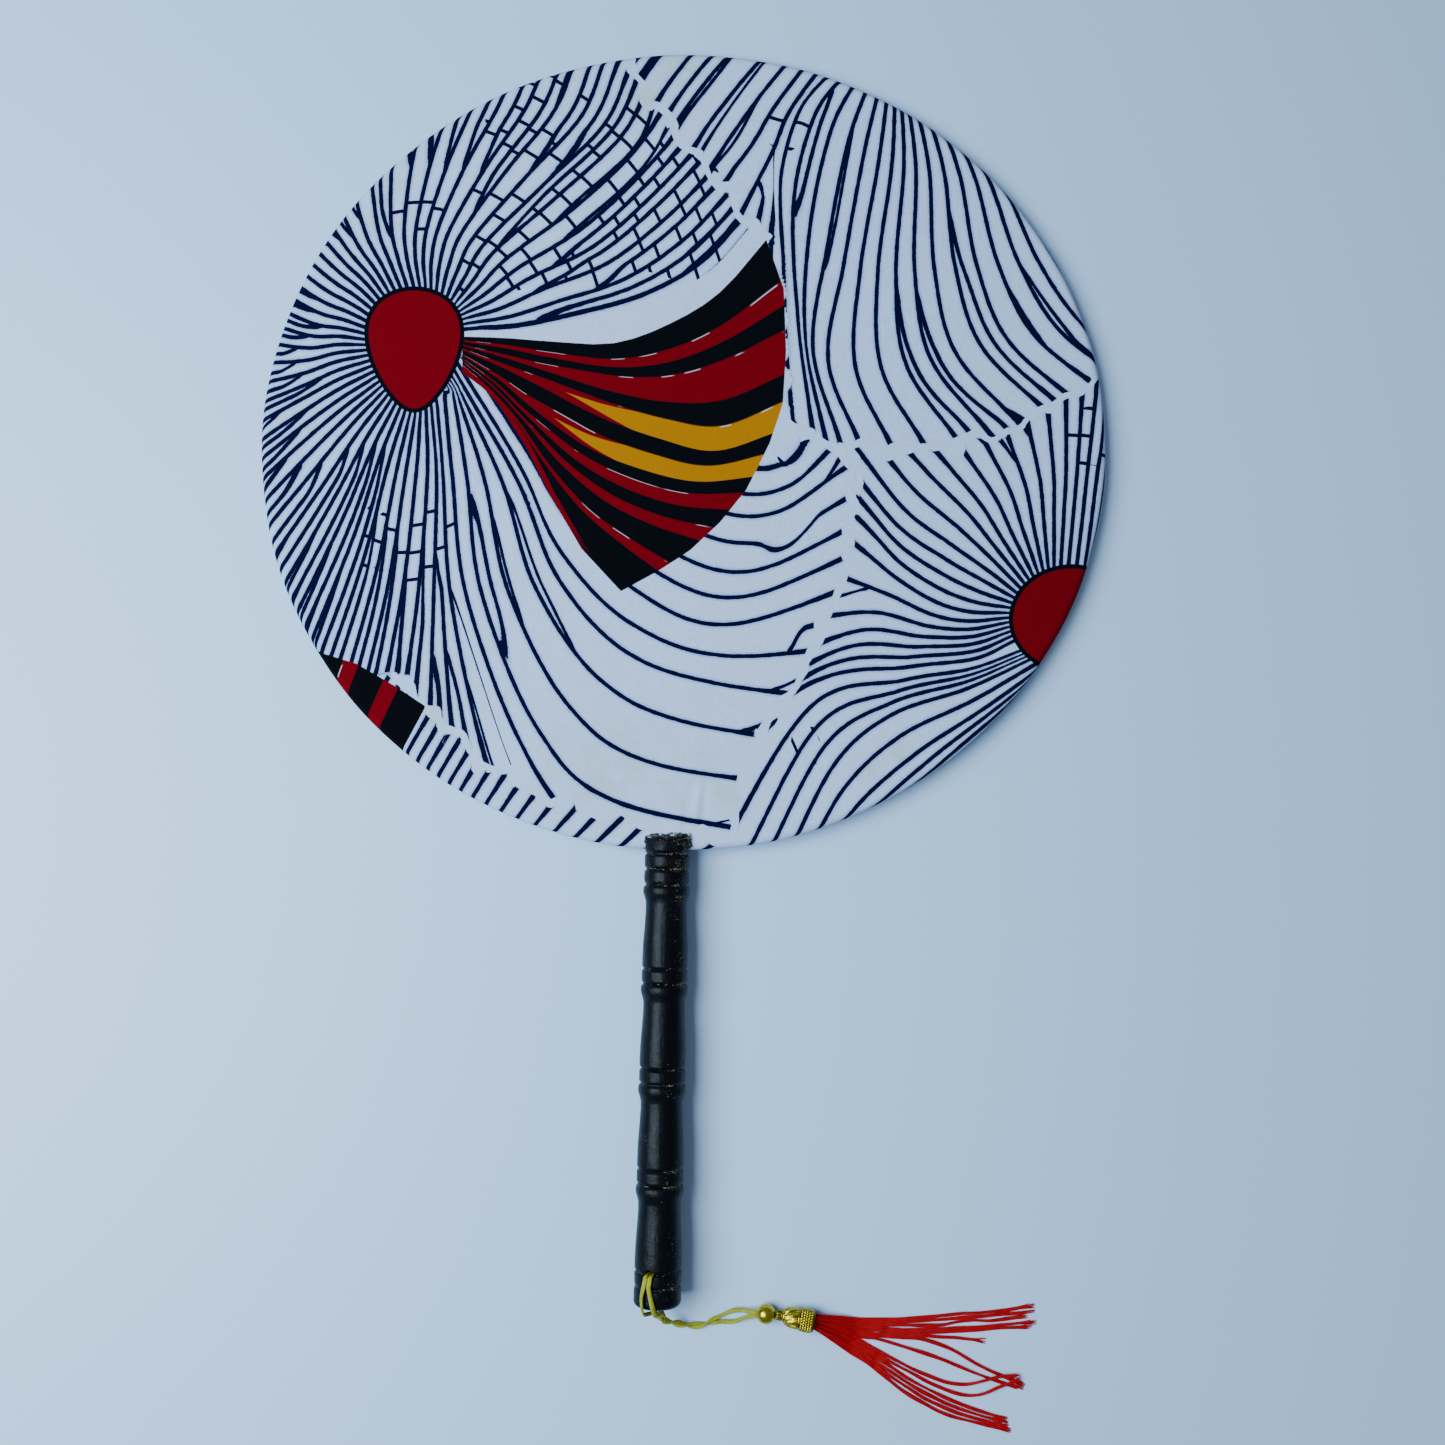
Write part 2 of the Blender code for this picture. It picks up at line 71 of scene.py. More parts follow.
half_reach = math.hypot(BLADE_HALF_WIDTH * math.sin(BLADE_TURN), BLADE_HALF_HEIGHT * math.cos(BLADE_TURN))
blade_centre = np.array([BLADE_OFFSET, half_reach - SEAT_DEPTH])
blade_top = blade_centre[1] + half_reach
lean = math.atan((BAND_RADIUS - BACK_FACE) / (blade_top - BACK_COVER_INSET))
fan_middle = (blade_top - HANDLE_LENGTH) / 2 * math.cos(lean)
fan_matrix = Matrix.Translation(Vector((-BLADE_OFFSET, -fan_middle, BAND_RADIUS * math.cos(lean))) * MM)
fan_matrix = fan_matrix @ Matrix.Rotation(-lean, 4, "X")


def to_world(points):
    """Points of the fan's own frame, in millimetres, as points of the part's frame, in metres."""
    turn = np.array(fan_matrix.to_3x3())
    return np.asarray(points, float) * MM @ turn.T + np.array(fan_matrix.translation)


# ----------------------------------------------------------------------------------------------------
# Meshes and curves
# ----------------------------------------------------------------------------------------------------


def mesh_object(name, points, faces, sharp_angle=None):
    """A smooth mesh from arrays of points, in metres, and faces. Nothing of it sinks into the table."""
    mesh = bpy.data.meshes.new(name)
    above_table = np.maximum(points, (-math.inf, -math.inf, TABLE_GAP * MM))
    mesh.from_pydata(above_table.tolist(), [], [tuple(map(int, face)) for face in faces])
    bm = bmesh.new()
    bm.from_mesh(mesh)
    bmesh.ops.recalc_face_normals(bm, faces=bm.faces)
    bm.to_mesh(mesh)
    bm.free()
    mesh.shade_smooth()
    if sharp_angle:
        mesh.set_sharp_from_angle(angle=math.radians(sharp_angle))
    obj = bpy.data.objects.new(name, mesh)
    bpy.context.scene.collection.objects.link(obj)
    return obj


def fan_places(obj):
    """The mesh's points in the fan's own frame, in millimetres."""
    places = np.empty(len(obj.data.vertices) * 3, np.float32)
    obj.data.vertices.foreach_get("co", places)
    return (places.reshape(-1, 3) - np.array(fan_matrix.translation)) @ np.array(fan_matrix.to_3x3()) / MM


def store(obj, name, values):
    """Keeps three numbers, or one, for each point of a mesh, for its material to read."""
    values = np.asarray(values, np.float32)
    if values.ndim == 1:
        obj.data.attributes.new(name, "FLOAT", "POINT").data.foreach_set("value", values)
    else:
        obj.data.attributes.new(name, "FLOAT_VECTOR", "POINT").data.foreach_set("vector", values.ravel())


def merge_points(obj):
    """Joins the points of a mesh that lie in the same place."""
    bm = bmesh.new()
    bm.from_mesh(obj.data)
    bmesh.ops.remove_doubles(bm, verts=bm.verts, dist=1e-7)
    bm.to_mesh(obj.data)
    bm.free()


def grid_faces(rows, columns, closed):
    """Quads of a grid of points, numbered row by row. A closed grid joins its last column to its first."""
    across = columns if closed else columns - 1
    i, j = np.meshgrid(np.arange(rows - 1), np.arange(across), indexing="ij")
    k = (j + 1) % columns
    corners = [i * columns + j, i * columns + k, (i + 1) * columns + k, (i + 1) * columns + j]
    return np.stack(corners, axis=-1).reshape(-1, 4)


def tube_faces(rows, columns):
    """Faces of a tube of closed rings of points, with both ends shut."""
    last = (rows - 1) * columns
    ends = [tuple(range(columns))[::-1], tuple(range(last, last + columns))]
    return grid_faces(rows, columns, closed=True).tolist() + ends


def spline(points, places):
    """Points of a Catmull-Rom spline along the first axis, at fractional positions in the list."""
    points = np.asarray(points, float)
    ends = np.concatenate([2 * points[:1] - points[1:2], points, 2 * points[-1:] - points[-2:-1]])
    index = np.clip(np.floor(places).astype(int), 0, len(points) - 2)
    t = (places - index).reshape(-1, *[1] * (points.ndim - 1))
    a, b, c, d = (ends[index + k] for k in range(4))
    return b + t / 2 * ((c - a) + t * ((2 * a - 5 * b + 4 * c - d) + t * (3 * b - a - 3 * c + d)))


def eased_spline(points, places):
    """Like spline, with its slopes held down beside a narrow gap, so that it never overshoots."""
    gaps = np.diff(points, axis=0)
    size = np.linalg.norm(gaps[..., :2], axis=-1, keepdims=True)
    slopes = np.concatenate([gaps[:1], (gaps[1:] + gaps[:-1]) / 2, gaps[-1:]])
    limit = 1.5 * np.concatenate([size[:1], np.minimum(size[1:], size[:-1]), size[-1:]])
    steepness = np.linalg.norm(slopes[..., :2], axis=-1, keepdims=True)
    slopes = slopes * np.minimum(1, limit / np.maximum(steepness, 1e-9))
    index = np.clip(np.floor(places).astype(int), 0, len(points) - 2)
    t = (places - index).reshape(-1, *[1] * (points.ndim - 1))
    rise = t * t * (3 - 2 * t)
    leave, arrive = t * (1 - t) ** 2, t * t * (t - 1)
    between = points[index] * (1 - rise) + points[index + 1] * rise
    return between + slopes[index] * leave + slopes[index + 1] * arrive


def distances_along(path):
    """The distance of each point of a path from its start."""
    return np.concatenate([[0], np.cumsum(np.linalg.norm(np.diff(path, axis=0), axis=1))])


def directions(path):
    """The unit direction of a path at each of its points."""
    ahead = np.gradient(path, axis=0)
    return ahead / np.linalg.norm(ahead, axis=1)[:, None]


def round_angles(count):
    """Evenly spaced angles of a full turn."""
    return math.tau * np.arange(count) / count


def smooth_route(points, step):
    """Points at even steps along a smooth curve through the given ones."""
    fine = spline(points, np.linspace(0, len(points) - 1, 24 * (len(points) - 1) + 1))
    along = distances_along(fine)
    places = np.linspace(0, along[-1], max(3, round(along[-1] / step)) + 1)
    return np.column_stack([np.interp(places, along, fine[:, axis]) for axis in range(fine.shape[1])])


def ripple(points, wavelength, seed, waves=7):
    """Smooth seeded noise of about -1 to 1 at each point, a sum of waves of about this length."""
    rng = np.random.default_rng(seed)
    points = np.asarray(points, float)
    total = np.zeros(len(points))
    for _ in range(waves):
        direction = rng.normal(size=points.shape[1])
        direction *= math.tau / wavelength * rng.uniform(0.6, 1.5) / np.linalg.norm(direction)
        total += np.sin(points @ direction + rng.uniform(0, math.tau))
    return total / math.sqrt(waves)


def smooth_step(values, low, high):
    """A smooth step from 0 at low to 1 at high."""
    t = np.clip((np.asarray(values, float) - low) / (high - low), 0, 1)
    return t * t * (3 - 2 * t)


def bump(values, centre, width):
    """A bell of height 1 round the centre."""
    return np.exp(-(((np.asarray(values, float) - centre) / width) ** 2))


# ----------------------------------------------------------------------------------------------------
# Materials
# ----------------------------------------------------------------------------------------------------


class Wire:
    """A number in a material's node tree. Arithmetic on it adds Math nodes."""

    def __init__(self, tree, socket):
        self.tree, self.socket = tree, socket

    def math(self, operation, *others, clamp=False):
        node = self.tree.nodes.new("ShaderNodeMath")
        node.operation, node.use_clamp = operation, clamp
        for slot, value in zip(node.inputs, (self, *others)):
            plug(self.tree, value, slot)
        return Wire(self.tree, node.outputs[0])

    def __add__(self, other):
        return self.math("ADD", other)

    def __sub__(self, other):
        return self.math("SUBTRACT", other)

    def __mul__(self, other):
        return self.math("MULTIPLY", other)

    def __truediv__(self, other):
        return self.math("DIVIDE", other)

    def __neg__(self):
        return self * -1.0

    def from_one(self):
        """What is left of 1."""
        return self * -1.0 + 1.0

    def least(self, other):
        return self.math("MINIMUM", other)

    def most(self, other):
        return self.math("MAXIMUM", other)

    def floor(self):
        return self.math("FLOOR")

    def fraction(self):
        return self.math("FRACT")

    def size(self):
        return self.math("ABSOLUTE")

    def over(self, other):
        """1 where this is greater than the other."""
        return self.math("GREATER_THAN", other)

    def edge(self, softness):
        """0 below zero and 1 above it, with a soft step of this width between."""
        return (self / softness).math("ADD", 0.5, clamp=True)

    def smooth(self, low, high):
        """A smooth step from 0 at low to 1 at high."""
        node = self.tree.nodes.new("ShaderNodeMapRange")
        node.interpolation_type = "SMOOTHSTEP"
        for slot, value in zip(node.inputs, (self, low, high)):
            plug(self.tree, value, slot)
        return Wire(self.tree, node.outputs["Result"])


def plug(tree, value, slot):
    """Links a wire to a node's input, or sets the input to a plain value."""
    if isinstance(value, Wire):
        tree.links.new(value.socket, slot)
    else:
        slot.default_value = value


class Finish:
    """A material under construction: its node tree, its shader and what its patterns are made of."""

    def __init__(self, name, colour, roughness, **values):
        self.material = bpy.data.materials.new(name)
        self.material.use_nodes = True
        self.tree = self.material.node_tree
        self.shader = self.tree.nodes["Principled BSDF"]
        self.set("Base Color", (*colour, 1) if isinstance(colour, tuple) else colour)
        self.set("Roughness", roughness)
        for key, value in values.items():
            self.set(key.replace("_", " ").title().replace("Ior", "IOR"), value)

    def set(self, name, value):
        plug(self.tree, value, self.shader.inputs[name])

    def node(self, kind, **settings):
        node = self.tree.nodes.new("ShaderNode" + kind)
        for key, value in settings.items():
            setattr(node, key, value)
        return node

    def stored(self, name):
        """The three numbers kept on the mesh under this name."""
        attribute = self.node("Attribute", attribute_name=name)
        parts = self.node("SeparateXYZ")
        self.tree.links.new(attribute.outputs["Vector"], parts.inputs[0])
        return [Wire(self.tree, output) for output in parts.outputs]

    def number(self, name):
        """The single number kept on the mesh under this name."""
        return Wire(self.tree, self.node("Attribute", attribute_name=name).outputs["Fac"])

    def vector(self, x, y, z=0.0):
        node = self.node("CombineXYZ")
        for value, slot in zip((x, y, z), node.inputs):
            plug(self.tree, value, slot)
        return Wire(self.tree, node.outputs[0])

    def place(self):
        """The point in the object's own frame, in metres."""
        parts = self.node("SeparateXYZ")
        self.tree.links.new(self.node("TexCoord").outputs["Object"], parts.inputs[0])
        return [Wire(self.tree, output) for output in parts.outputs]

    def noise(self, vector, scale, detail=3.0, roughness=0.55):
        node = self.node("TexNoise")
        plug(self.tree, vector, node.inputs["Vector"])
        for name, value in (("Scale", scale), ("Detail", detail), ("Roughness", roughness)):
            node.inputs[name].default_value = value
        return Wire(self.tree, node.outputs[0])

    def chance(self, number, seed=0.0):
        """A seeded number of 0 to 1 for each whole number."""
        node = self.node("TexWhiteNoise", noise_dimensions="1D")
        plug(self.tree, number + seed, node.inputs["W"])
        return (Wire(self.tree, node.outputs["Value"]) * 9.0).fraction()

    def mix(self, share, first, second):
        """A colour that goes from the first to the second as the share goes from 0 to 1."""
        node = self.node("Mix", data_type="RGBA")
        for slot, value in ((0, share), (6, first), (7, second)):
            plug(self.tree, (*value, 1) if isinstance(value, tuple) else value, node.inputs[slot])
        return Wire(self.tree, node.outputs[2])

    def lookup(self, number, values):
        """The value in the list at this whole number."""
        node = self.node("ValToRGB")
        node.color_ramp.interpolation = "CONSTANT"
        stops = node.color_ramp.elements
        while len(stops) < len(values):
            stops.new(1.0)
        for index, value in enumerate(values):
            stops[index].position = index / len(values)
            stops[index].color = (*value, 1) if isinstance(value, tuple) else (value, value, value, 1)
        plug(self.tree, (number + 0.5) / len(values), node.inputs[0])
        return Wire(self.tree, node.outputs[0])

    def relief(self, height, depth, strength=1.0):
        """Bumps: the height of 0 to 1 stands for this depth in metres."""
        node = self.node("Bump")
        node.inputs["Distance"].default_value = depth
        node.inputs["Strength"].default_value = strength
        plug(self.tree, height, node.inputs["Height"])
        self.tree.links.new(node.outputs[0], self.shader.inputs["Normal"])


def paint(obj, finish):
    """Gives an object its material."""
    obj.data.materials.clear()
    obj.data.materials.append(finish.material)
    return obj


def stand_in(obj, finish, body, node):
    """Paints a piece and lets it ride on its body in place of the CAD node."""
    paint(obj, finish)
    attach(obj, body)
    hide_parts(node)


# ----------------------------------------------------------------------------------------------------
# The printed cloth: flowing lines round two red spots, and a striped horn
# ----------------------------------------------------------------------------------------------------

# Places on the cloth are in millimetres from the middle of the blade, x to the right and y up. Each family of
# lines is told by a few guide lines, from their roots outwards, and by the line's number at each guide.
SPOT_GUIDES = [
    [(-64, 38), (-50, 39), (-35, 42), (-13, 48), (5, 58), (19, 73)],
    [(-66, 43), (-58, 47), (-47, 54), (-28, 64), (-10, 80), (5, 96)],
    [(-70, 47), (-66, 54), (-60, 64), (-42, 82), (-24, 100), (-16, 118)],
    [(-79, 51), (-80, 60), (-79, 70), (-74, 88), (-68, 104), (-63, 118)],
    [(-90, 47), (-95, 54), (-101, 61), (-107, 70), (-112, 80), (-118, 90)],
    [(-97, 33), (-105, 33), (-113, 32), (-122, 33), (-132, 36), (-142, 40)],
    [(-93, 19), (-102, 11), (-114, -1), (-130, -18), (-148, -38), (-166, -58)],
    [(-83, 11), (-87, -6), (-93, -36), (-103, -72), (-112, -102), (-122, -136)],
    [(-77, 12), (-76, -8), (-78, -43), (-82, -85), (-85, -118), (-86, -160)],
    [(-73.5, 14), (-71.5, -8), (-68, -43), (-55, -85), (-38, -118), (-10, -160)],
    [(-69.5, 17), (-65.5, -8), (-61, -43), (-44, -84), (-20, -106), (40, -118)],
    [(-67, 21), (-50, -9), (-38, -38), (-18, -60), (10, -70), (60, -76)],
    [(-61, 22), (-47, 0), (-35, -20), (-14, -42), (14, -52), (60, -37)],
    [(-45, 26), (-25, 14), (-5, 0), (16, -11), (32, -9), (45, 3)],
]
SPOT_NUMBERS = [0, 3.2, 7, 12.5, 19, 28, 36, 43, 46.5, 48.5, 50, 53, 55, 57.5]
TOP_GUIDES = [
    [(4, 134), (-4, 127), (-11, 118), (-16, 110), (-20, 102)],
    [(30, 122), (20, 110), (11, 98), (6, 90), (1, 82)],
    [(42, 118), (32, 104), (27, 92), (22, 82), (18, 74)],
    [(48, 117), (37, 104), (31, 80), (33, 45), (37, 7)],
    [(58, 113), (52, 92), (46, 60), (41, 30), (50, 3)],
    [(63, 111), (61, 88), (56, 55), (56, 26), (68, 2)],
    [(69, 109), (73, 86), (74, 56), (80, 30), (99, 8)],
    [(78, 107), (88, 84), (95, 58), (106, 36), (128, 18)],
    [(92, 100), (108, 78), (124, 56), (142, 40), (165, 28)],
]
TOP_NUMBERS = [0, 3.5, 6, 7.5, 10.5, 12.5, 15.7, 19, 23.5]
RIGHT_GUIDES = [
    [(124, -34), (126, -22), (128, -8), (131, 8), (134, 26)],
    [(112, -33), (112, -20), (112, -8), (111, 4), (110, 14)],
    [(103, -38), (95, -27), (88, -17), (78, -6), (70, 3)],
    [(100, -43), (91, -37), (80, -30), (66, -20), (53, -4)],
    [(98, -50), (86, -51), (75, -49), (62, -43), (49, -38)],
    [(100, -57), (88, -62.5), (68, -65), (37.5, -70.5), (-8, -105)],
    [(102, -60), (87, -65.5), (66.5, -69), (38, -77.5), (8, -126)],
    [(104, -63), (86, -71.5), (63, -79.5), (46, -94), (31, -123)],
    [(107, -67), (91, -79), (73, -92), (56, -107), (44, -123)],
    [(112, -69), (107, -78), (99, -90), (88, -104), (76, -118)],
]
RIGHT_NUMBERS = [0, 5, 10.5, 13.5, 18, 23, 24, 27, 29.5, 35]
RIM_GUIDES = [
    [(-90, -94), (-82, -80)],
    [(-62, -110), (-53, -96)],
    [(-33, -121), (-20, -108)],
    [(-4, -130), (10, -118)],
]
RIM_NUMBERS = [0, 8, 13.5, 18]

# Where two families meet, their lines end.
UPPER_SEAM = [(25, 66), (17, 74), (9, 85), (0, 95), (-10, 107), (-17, 121), (-24, 145)]
MIDDLE_SEAM = [(31, 12), (36, 5), (50, 2), (68, 1), (84, 3), (99, 8), (114, 16), (130, 26), (170, 44)]
LOWER_SEAM = [(43, 4), (52, -6), (51, -24), (45, -45), (34, -70), (23, -84), (17, -103), (10, -124)]
LOWER_SEAM += [(4, -150)]
RIM_SEAM = [(-86, -68), (-76, -80), (-62, -93), (-44, -103), (-22, -111), (0, -116), (12, -117)]
BEYOND = 220

# The horn and the small striped patch, each told by the lines where its black stripes begin.
HORN_GUIDES = [
    [(-67, 35.5), (-53, 35), (-40, 34), (-21, 33.5), (-4, 39.5), (11, 49), (25, 65)],
    [(-67, 33.5), (-54, 31), (-42, 28), (-22, 24), (-5, 24), (12, 29), (30, 38)],
    [(-67, 32), (-54, 27), (-42, 22), (-24, 14), (-6, 8), (11, 5), (30, 12)],
    [(-67, 29.5), (-56, 22), (-46, 13), (-30, 1), (-14, -6), (3, -10), (21, -9)],
    [(-67, 27), (-58, 19), (-50, 10), (-40, -4), (-28, -17), (-15, -26), (-3, -33)],
    [(-67, 24.5), (-61, 20), (-56, 15), (-48, 2.5), (-40, -13.5), (-31, -29), (-19, -42)],
]
HORN_NUMBERS = [0, 1.31, 2.67, 4.18, 6.7, 7.5]
HORN_END = [(30.3, 50), (31, 31), (30, 15), (26, 3), (19, -11), (11, -21), (2, -29.5), (-8, -36)]
PATCH_GUIDES = [
    [(-112, -60), (-118, -78), (-126, -98)],
    [(-99, -64), (-106, -82), (-114, -102)],
    [(-87, -71), (-95, -88), (-104, -108)],
    [(-78, -77), (-86, -92), (-96, -112)],
]
PATCH_NUMBERS = [8.0, 8.95, 9.95, 10.68]

# Each spot: its centre, its half width and half height, and how much its lower end narrows.
SPOTS = [((-81.5, 31.5), 14.6, 19.3, 0.3), ((117.5, -50.5), 19.2, 16.8, 0.0)]

# Patches of bricks between the lines, and yellowed patches: centre and reach.
BRICKS = [((-60, 62), 20), ((-8, 82), 22), ((-85, -25), 20), ((30, 98), 12), ((125, 2), 16), ((38, -88), 9)]
BRICKS += [((-36, 92), 24), ((-84, 76), 8), ((6, 60), 16), ((-28, 62), 16), ((-45, 108), 14)]
STAINS = [((-93, 74), 9), ((-14, 108), 9), ((-25, -96), 16), ((8, -103), 12), ((62, -94), 8)]
STAINS += [((-72, -72), 10), ((-115, 10), 8), ((0, 118), 8)]

# Where the lines fork later, or sooner: centre, reach and the change of the width at which they fork.
OPENNESS = [((20, -32), 58, 1.3), ((-10, -92), 36, 3.0), ((-110, 0), 60, -0.3), ((-30, -110), 30, 1.5)]

# How the print lies on the cloth: its slants, its taper towards the top, its height and its shift upwards.
SLANT_ACROSS, SLANT_DOWN = 0.0217, 0.02
TAPER, PRINT_HEIGHT, PRINT_SHIFT = 0.00016, 0.989, 2.95

# How far the cloth's own waves bend the seams, and their length.
SEAM_BEND, SEAM_WAVE = 1.4, 11
MOST_BRICKS = 0.92
FAMILY_STEP = 100

# Between which widths of the gap beside a line its middle, left and right branches part from it.
MIDDLE_FORK, LEFT_FORK, RIGHT_FORK = (4.5, 6.3), (7.8, 10.8), (8.4, 11.4)
BRICK_LENGTH = 8.4

# For each stripe of the horn and then of the patch: black's share of it, and 1 where it is yellow.
BLACK_SHARES = [0.667, 0.35, 0.45, 0.44, 0.47, 0.57, 0.76, 1, 0.66, 0.64, 0.7]
YELLOW_STRIPES = [0.0, 0.0, 1.0, 1.0] + [0.0] * 7

# The print's colours. Where there are two, they are for the thinner and the thicker threads.
COTTON = (0.46, 0.545, 0.73), (0.565, 0.66, 0.88)
RED = (0.135, 0.0, 0.003), (0.185, 0.0, 0.005)
GOLD = (0.38, 0.125, 0.0), (0.48, 0.17, 0.0)
YELLOWED, BLUE_BLEED, NAVY = (0.48, 0.52, 0.42), (0.10, 0.14, 0.42), (0.001, 0.001, 0.020)
UNPRINTED, STRIPE_BLACK, SPOT_BLACK = (0.62, 0.62, 0.66), (0.0012, 0.0014, 0.0030), (0.0012, 0.0014, 0.0035)


def to_outline(corners, spots, closed=True):
    """Each spot's distance to an outline. For a closed one it is negative inside."""
    start = np.asarray(corners, float)
    end = np.roll(start, -1, axis=0)
    if not closed:
        start, end = start[:-1], end[:-1]
    run = end - start
    nearest = np.full(len(spots), np.inf)
    inside = np.zeros(len(spots), bool)
    for (x, y), (dx, dy) in zip(start, run):
        share = np.clip(((spots[:, 0] - x) * dx + (spots[:, 1] - y) * dy) / (dx * dx + dy * dy), 0, 1)
        gap = np.hypot(spots[:, 0] - x - share * dx, spots[:, 1] - y - share * dy)
        nearest = np.minimum(nearest, gap)
        if dy != 0:
            crossing = (y > spots[:, 1]) != (y + dy > spots[:, 1])
            inside ^= crossing & (spots[:, 0] < x + (spots[:, 1] - y) / dy * dx)
    return np.where(inside, -nearest, nearest) if closed else nearest


def line_family(guides, numbers, spots):
    """The line's number, the lines' spacing and the distance from the root, at each spot of a family."""
    lines = np.array([[(*point, number) for point in guide] for guide, number in zip(guides, numbers)])
    along_places = np.linspace(0, lines.shape[1] - 1, 61)
    lines = np.swapaxes(spline(np.swapaxes(lines, 0, 1), along_places), 0, 1)
    net = eased_spline(lines, np.linspace(0, len(guides) - 1, 14 * (len(guides) - 1) + 1))
    place, number = net[..., :2], net[..., 2]
    steps = np.linalg.norm(np.diff(place, axis=1), axis=2)
    along = np.concatenate([np.zeros((len(net), 1)), np.cumsum(steps, axis=1)], axis=1)
    across, down = np.gradient(place, axis=0), np.gradient(place, axis=1)
    area = across[..., 0] * down[..., 1] - across[..., 1] * down[..., 0]
    smallest = 1e-3
    area = np.where(np.abs(area) < smallest, np.copysign(smallest, area), area)

    def slope(values):
        by_row, by_column = np.gradient(values, axis=0), np.gradient(values, axis=1)
        x = (by_row * down[..., 1] - by_column * across[..., 1]) / area
        y = (by_column * across[..., 0] - by_row * down[..., 0]) / area
        return np.stack([x, y], axis=-1).reshape(-1, 2)

    tree = KDTree(number.size)
    for index, point in enumerate(place.reshape(-1, 2).tolist()):
        tree.insert((*point, 0), index)
    tree.balance()
    nearest = np.array([tree.find((x, y, 0))[1] for x, y in spots.tolist()], int)
    offset = spots - place.reshape(-1, 2)[nearest]
    number_slope, along_slope = slope(number), slope(along)
    gaps = 1 / np.maximum(np.linalg.norm(number_slope, axis=1), 1e-3)
    gap_slope = slope(np.minimum(gaps, 40).reshape(number.shape))[nearest]
    change = np.clip((offset * gap_slope).sum(1) / gaps[nearest], -0.3, 0.3)
    spacing = gaps[nearest] * (1 + change)
    number_slope, along_slope = number_slope[nearest], along_slope[nearest]
    numbers_there = number.ravel()[nearest] + (offset * number_slope).sum(1)
    along_there = along.ravel()[nearest] + (offset * along_slope).sum(1)
    return numbers_there, spacing, along_there


def print_places(places):
    """Places on the cloth, from the blade's middle, as places in the print."""
    x, y = places.T
    taper = 1 - TAPER * y
    up = (y - SLANT_DOWN * x) * taper * PRINT_HEIGHT + PRINT_SHIFT
    return np.column_stack([(x + SLANT_ACROSS * y) * taper, up])


def soft_patches(spots, places):
    """The sum of soft round patches at each spot: a centre, a reach and, if it isn't 1, a strength."""
    total = 0
    for centre, reach, *strength in places:
        height = bump(np.hypot(*(spots - centre).T), 0, reach)
        total = total + (strength[0] if strength else 1) * height
    return total


def horn_outline():
    """The corners of the striped horn's outline."""
    return spline(HORN_GUIDES[0], np.linspace(0, 6, 19)).tolist() + HORN_END + HORN_GUIDES[-1][::-1]


def spot_distance(spots):
    """The signed distance to the nearer red spot."""
    turns = np.linspace(0, math.tau, 72, endpoint=False)
    nearest = np.full(len(spots), np.inf)
    for (x, y), width, height, narrowing in SPOTS:
        waist = 1 + narrowing * np.sin(turns)
        outline = np.column_stack([x + width * np.cos(turns) * waist, y + height * np.sin(turns)])
        nearest = np.minimum(nearest, to_outline(outline, spots))
    return nearest


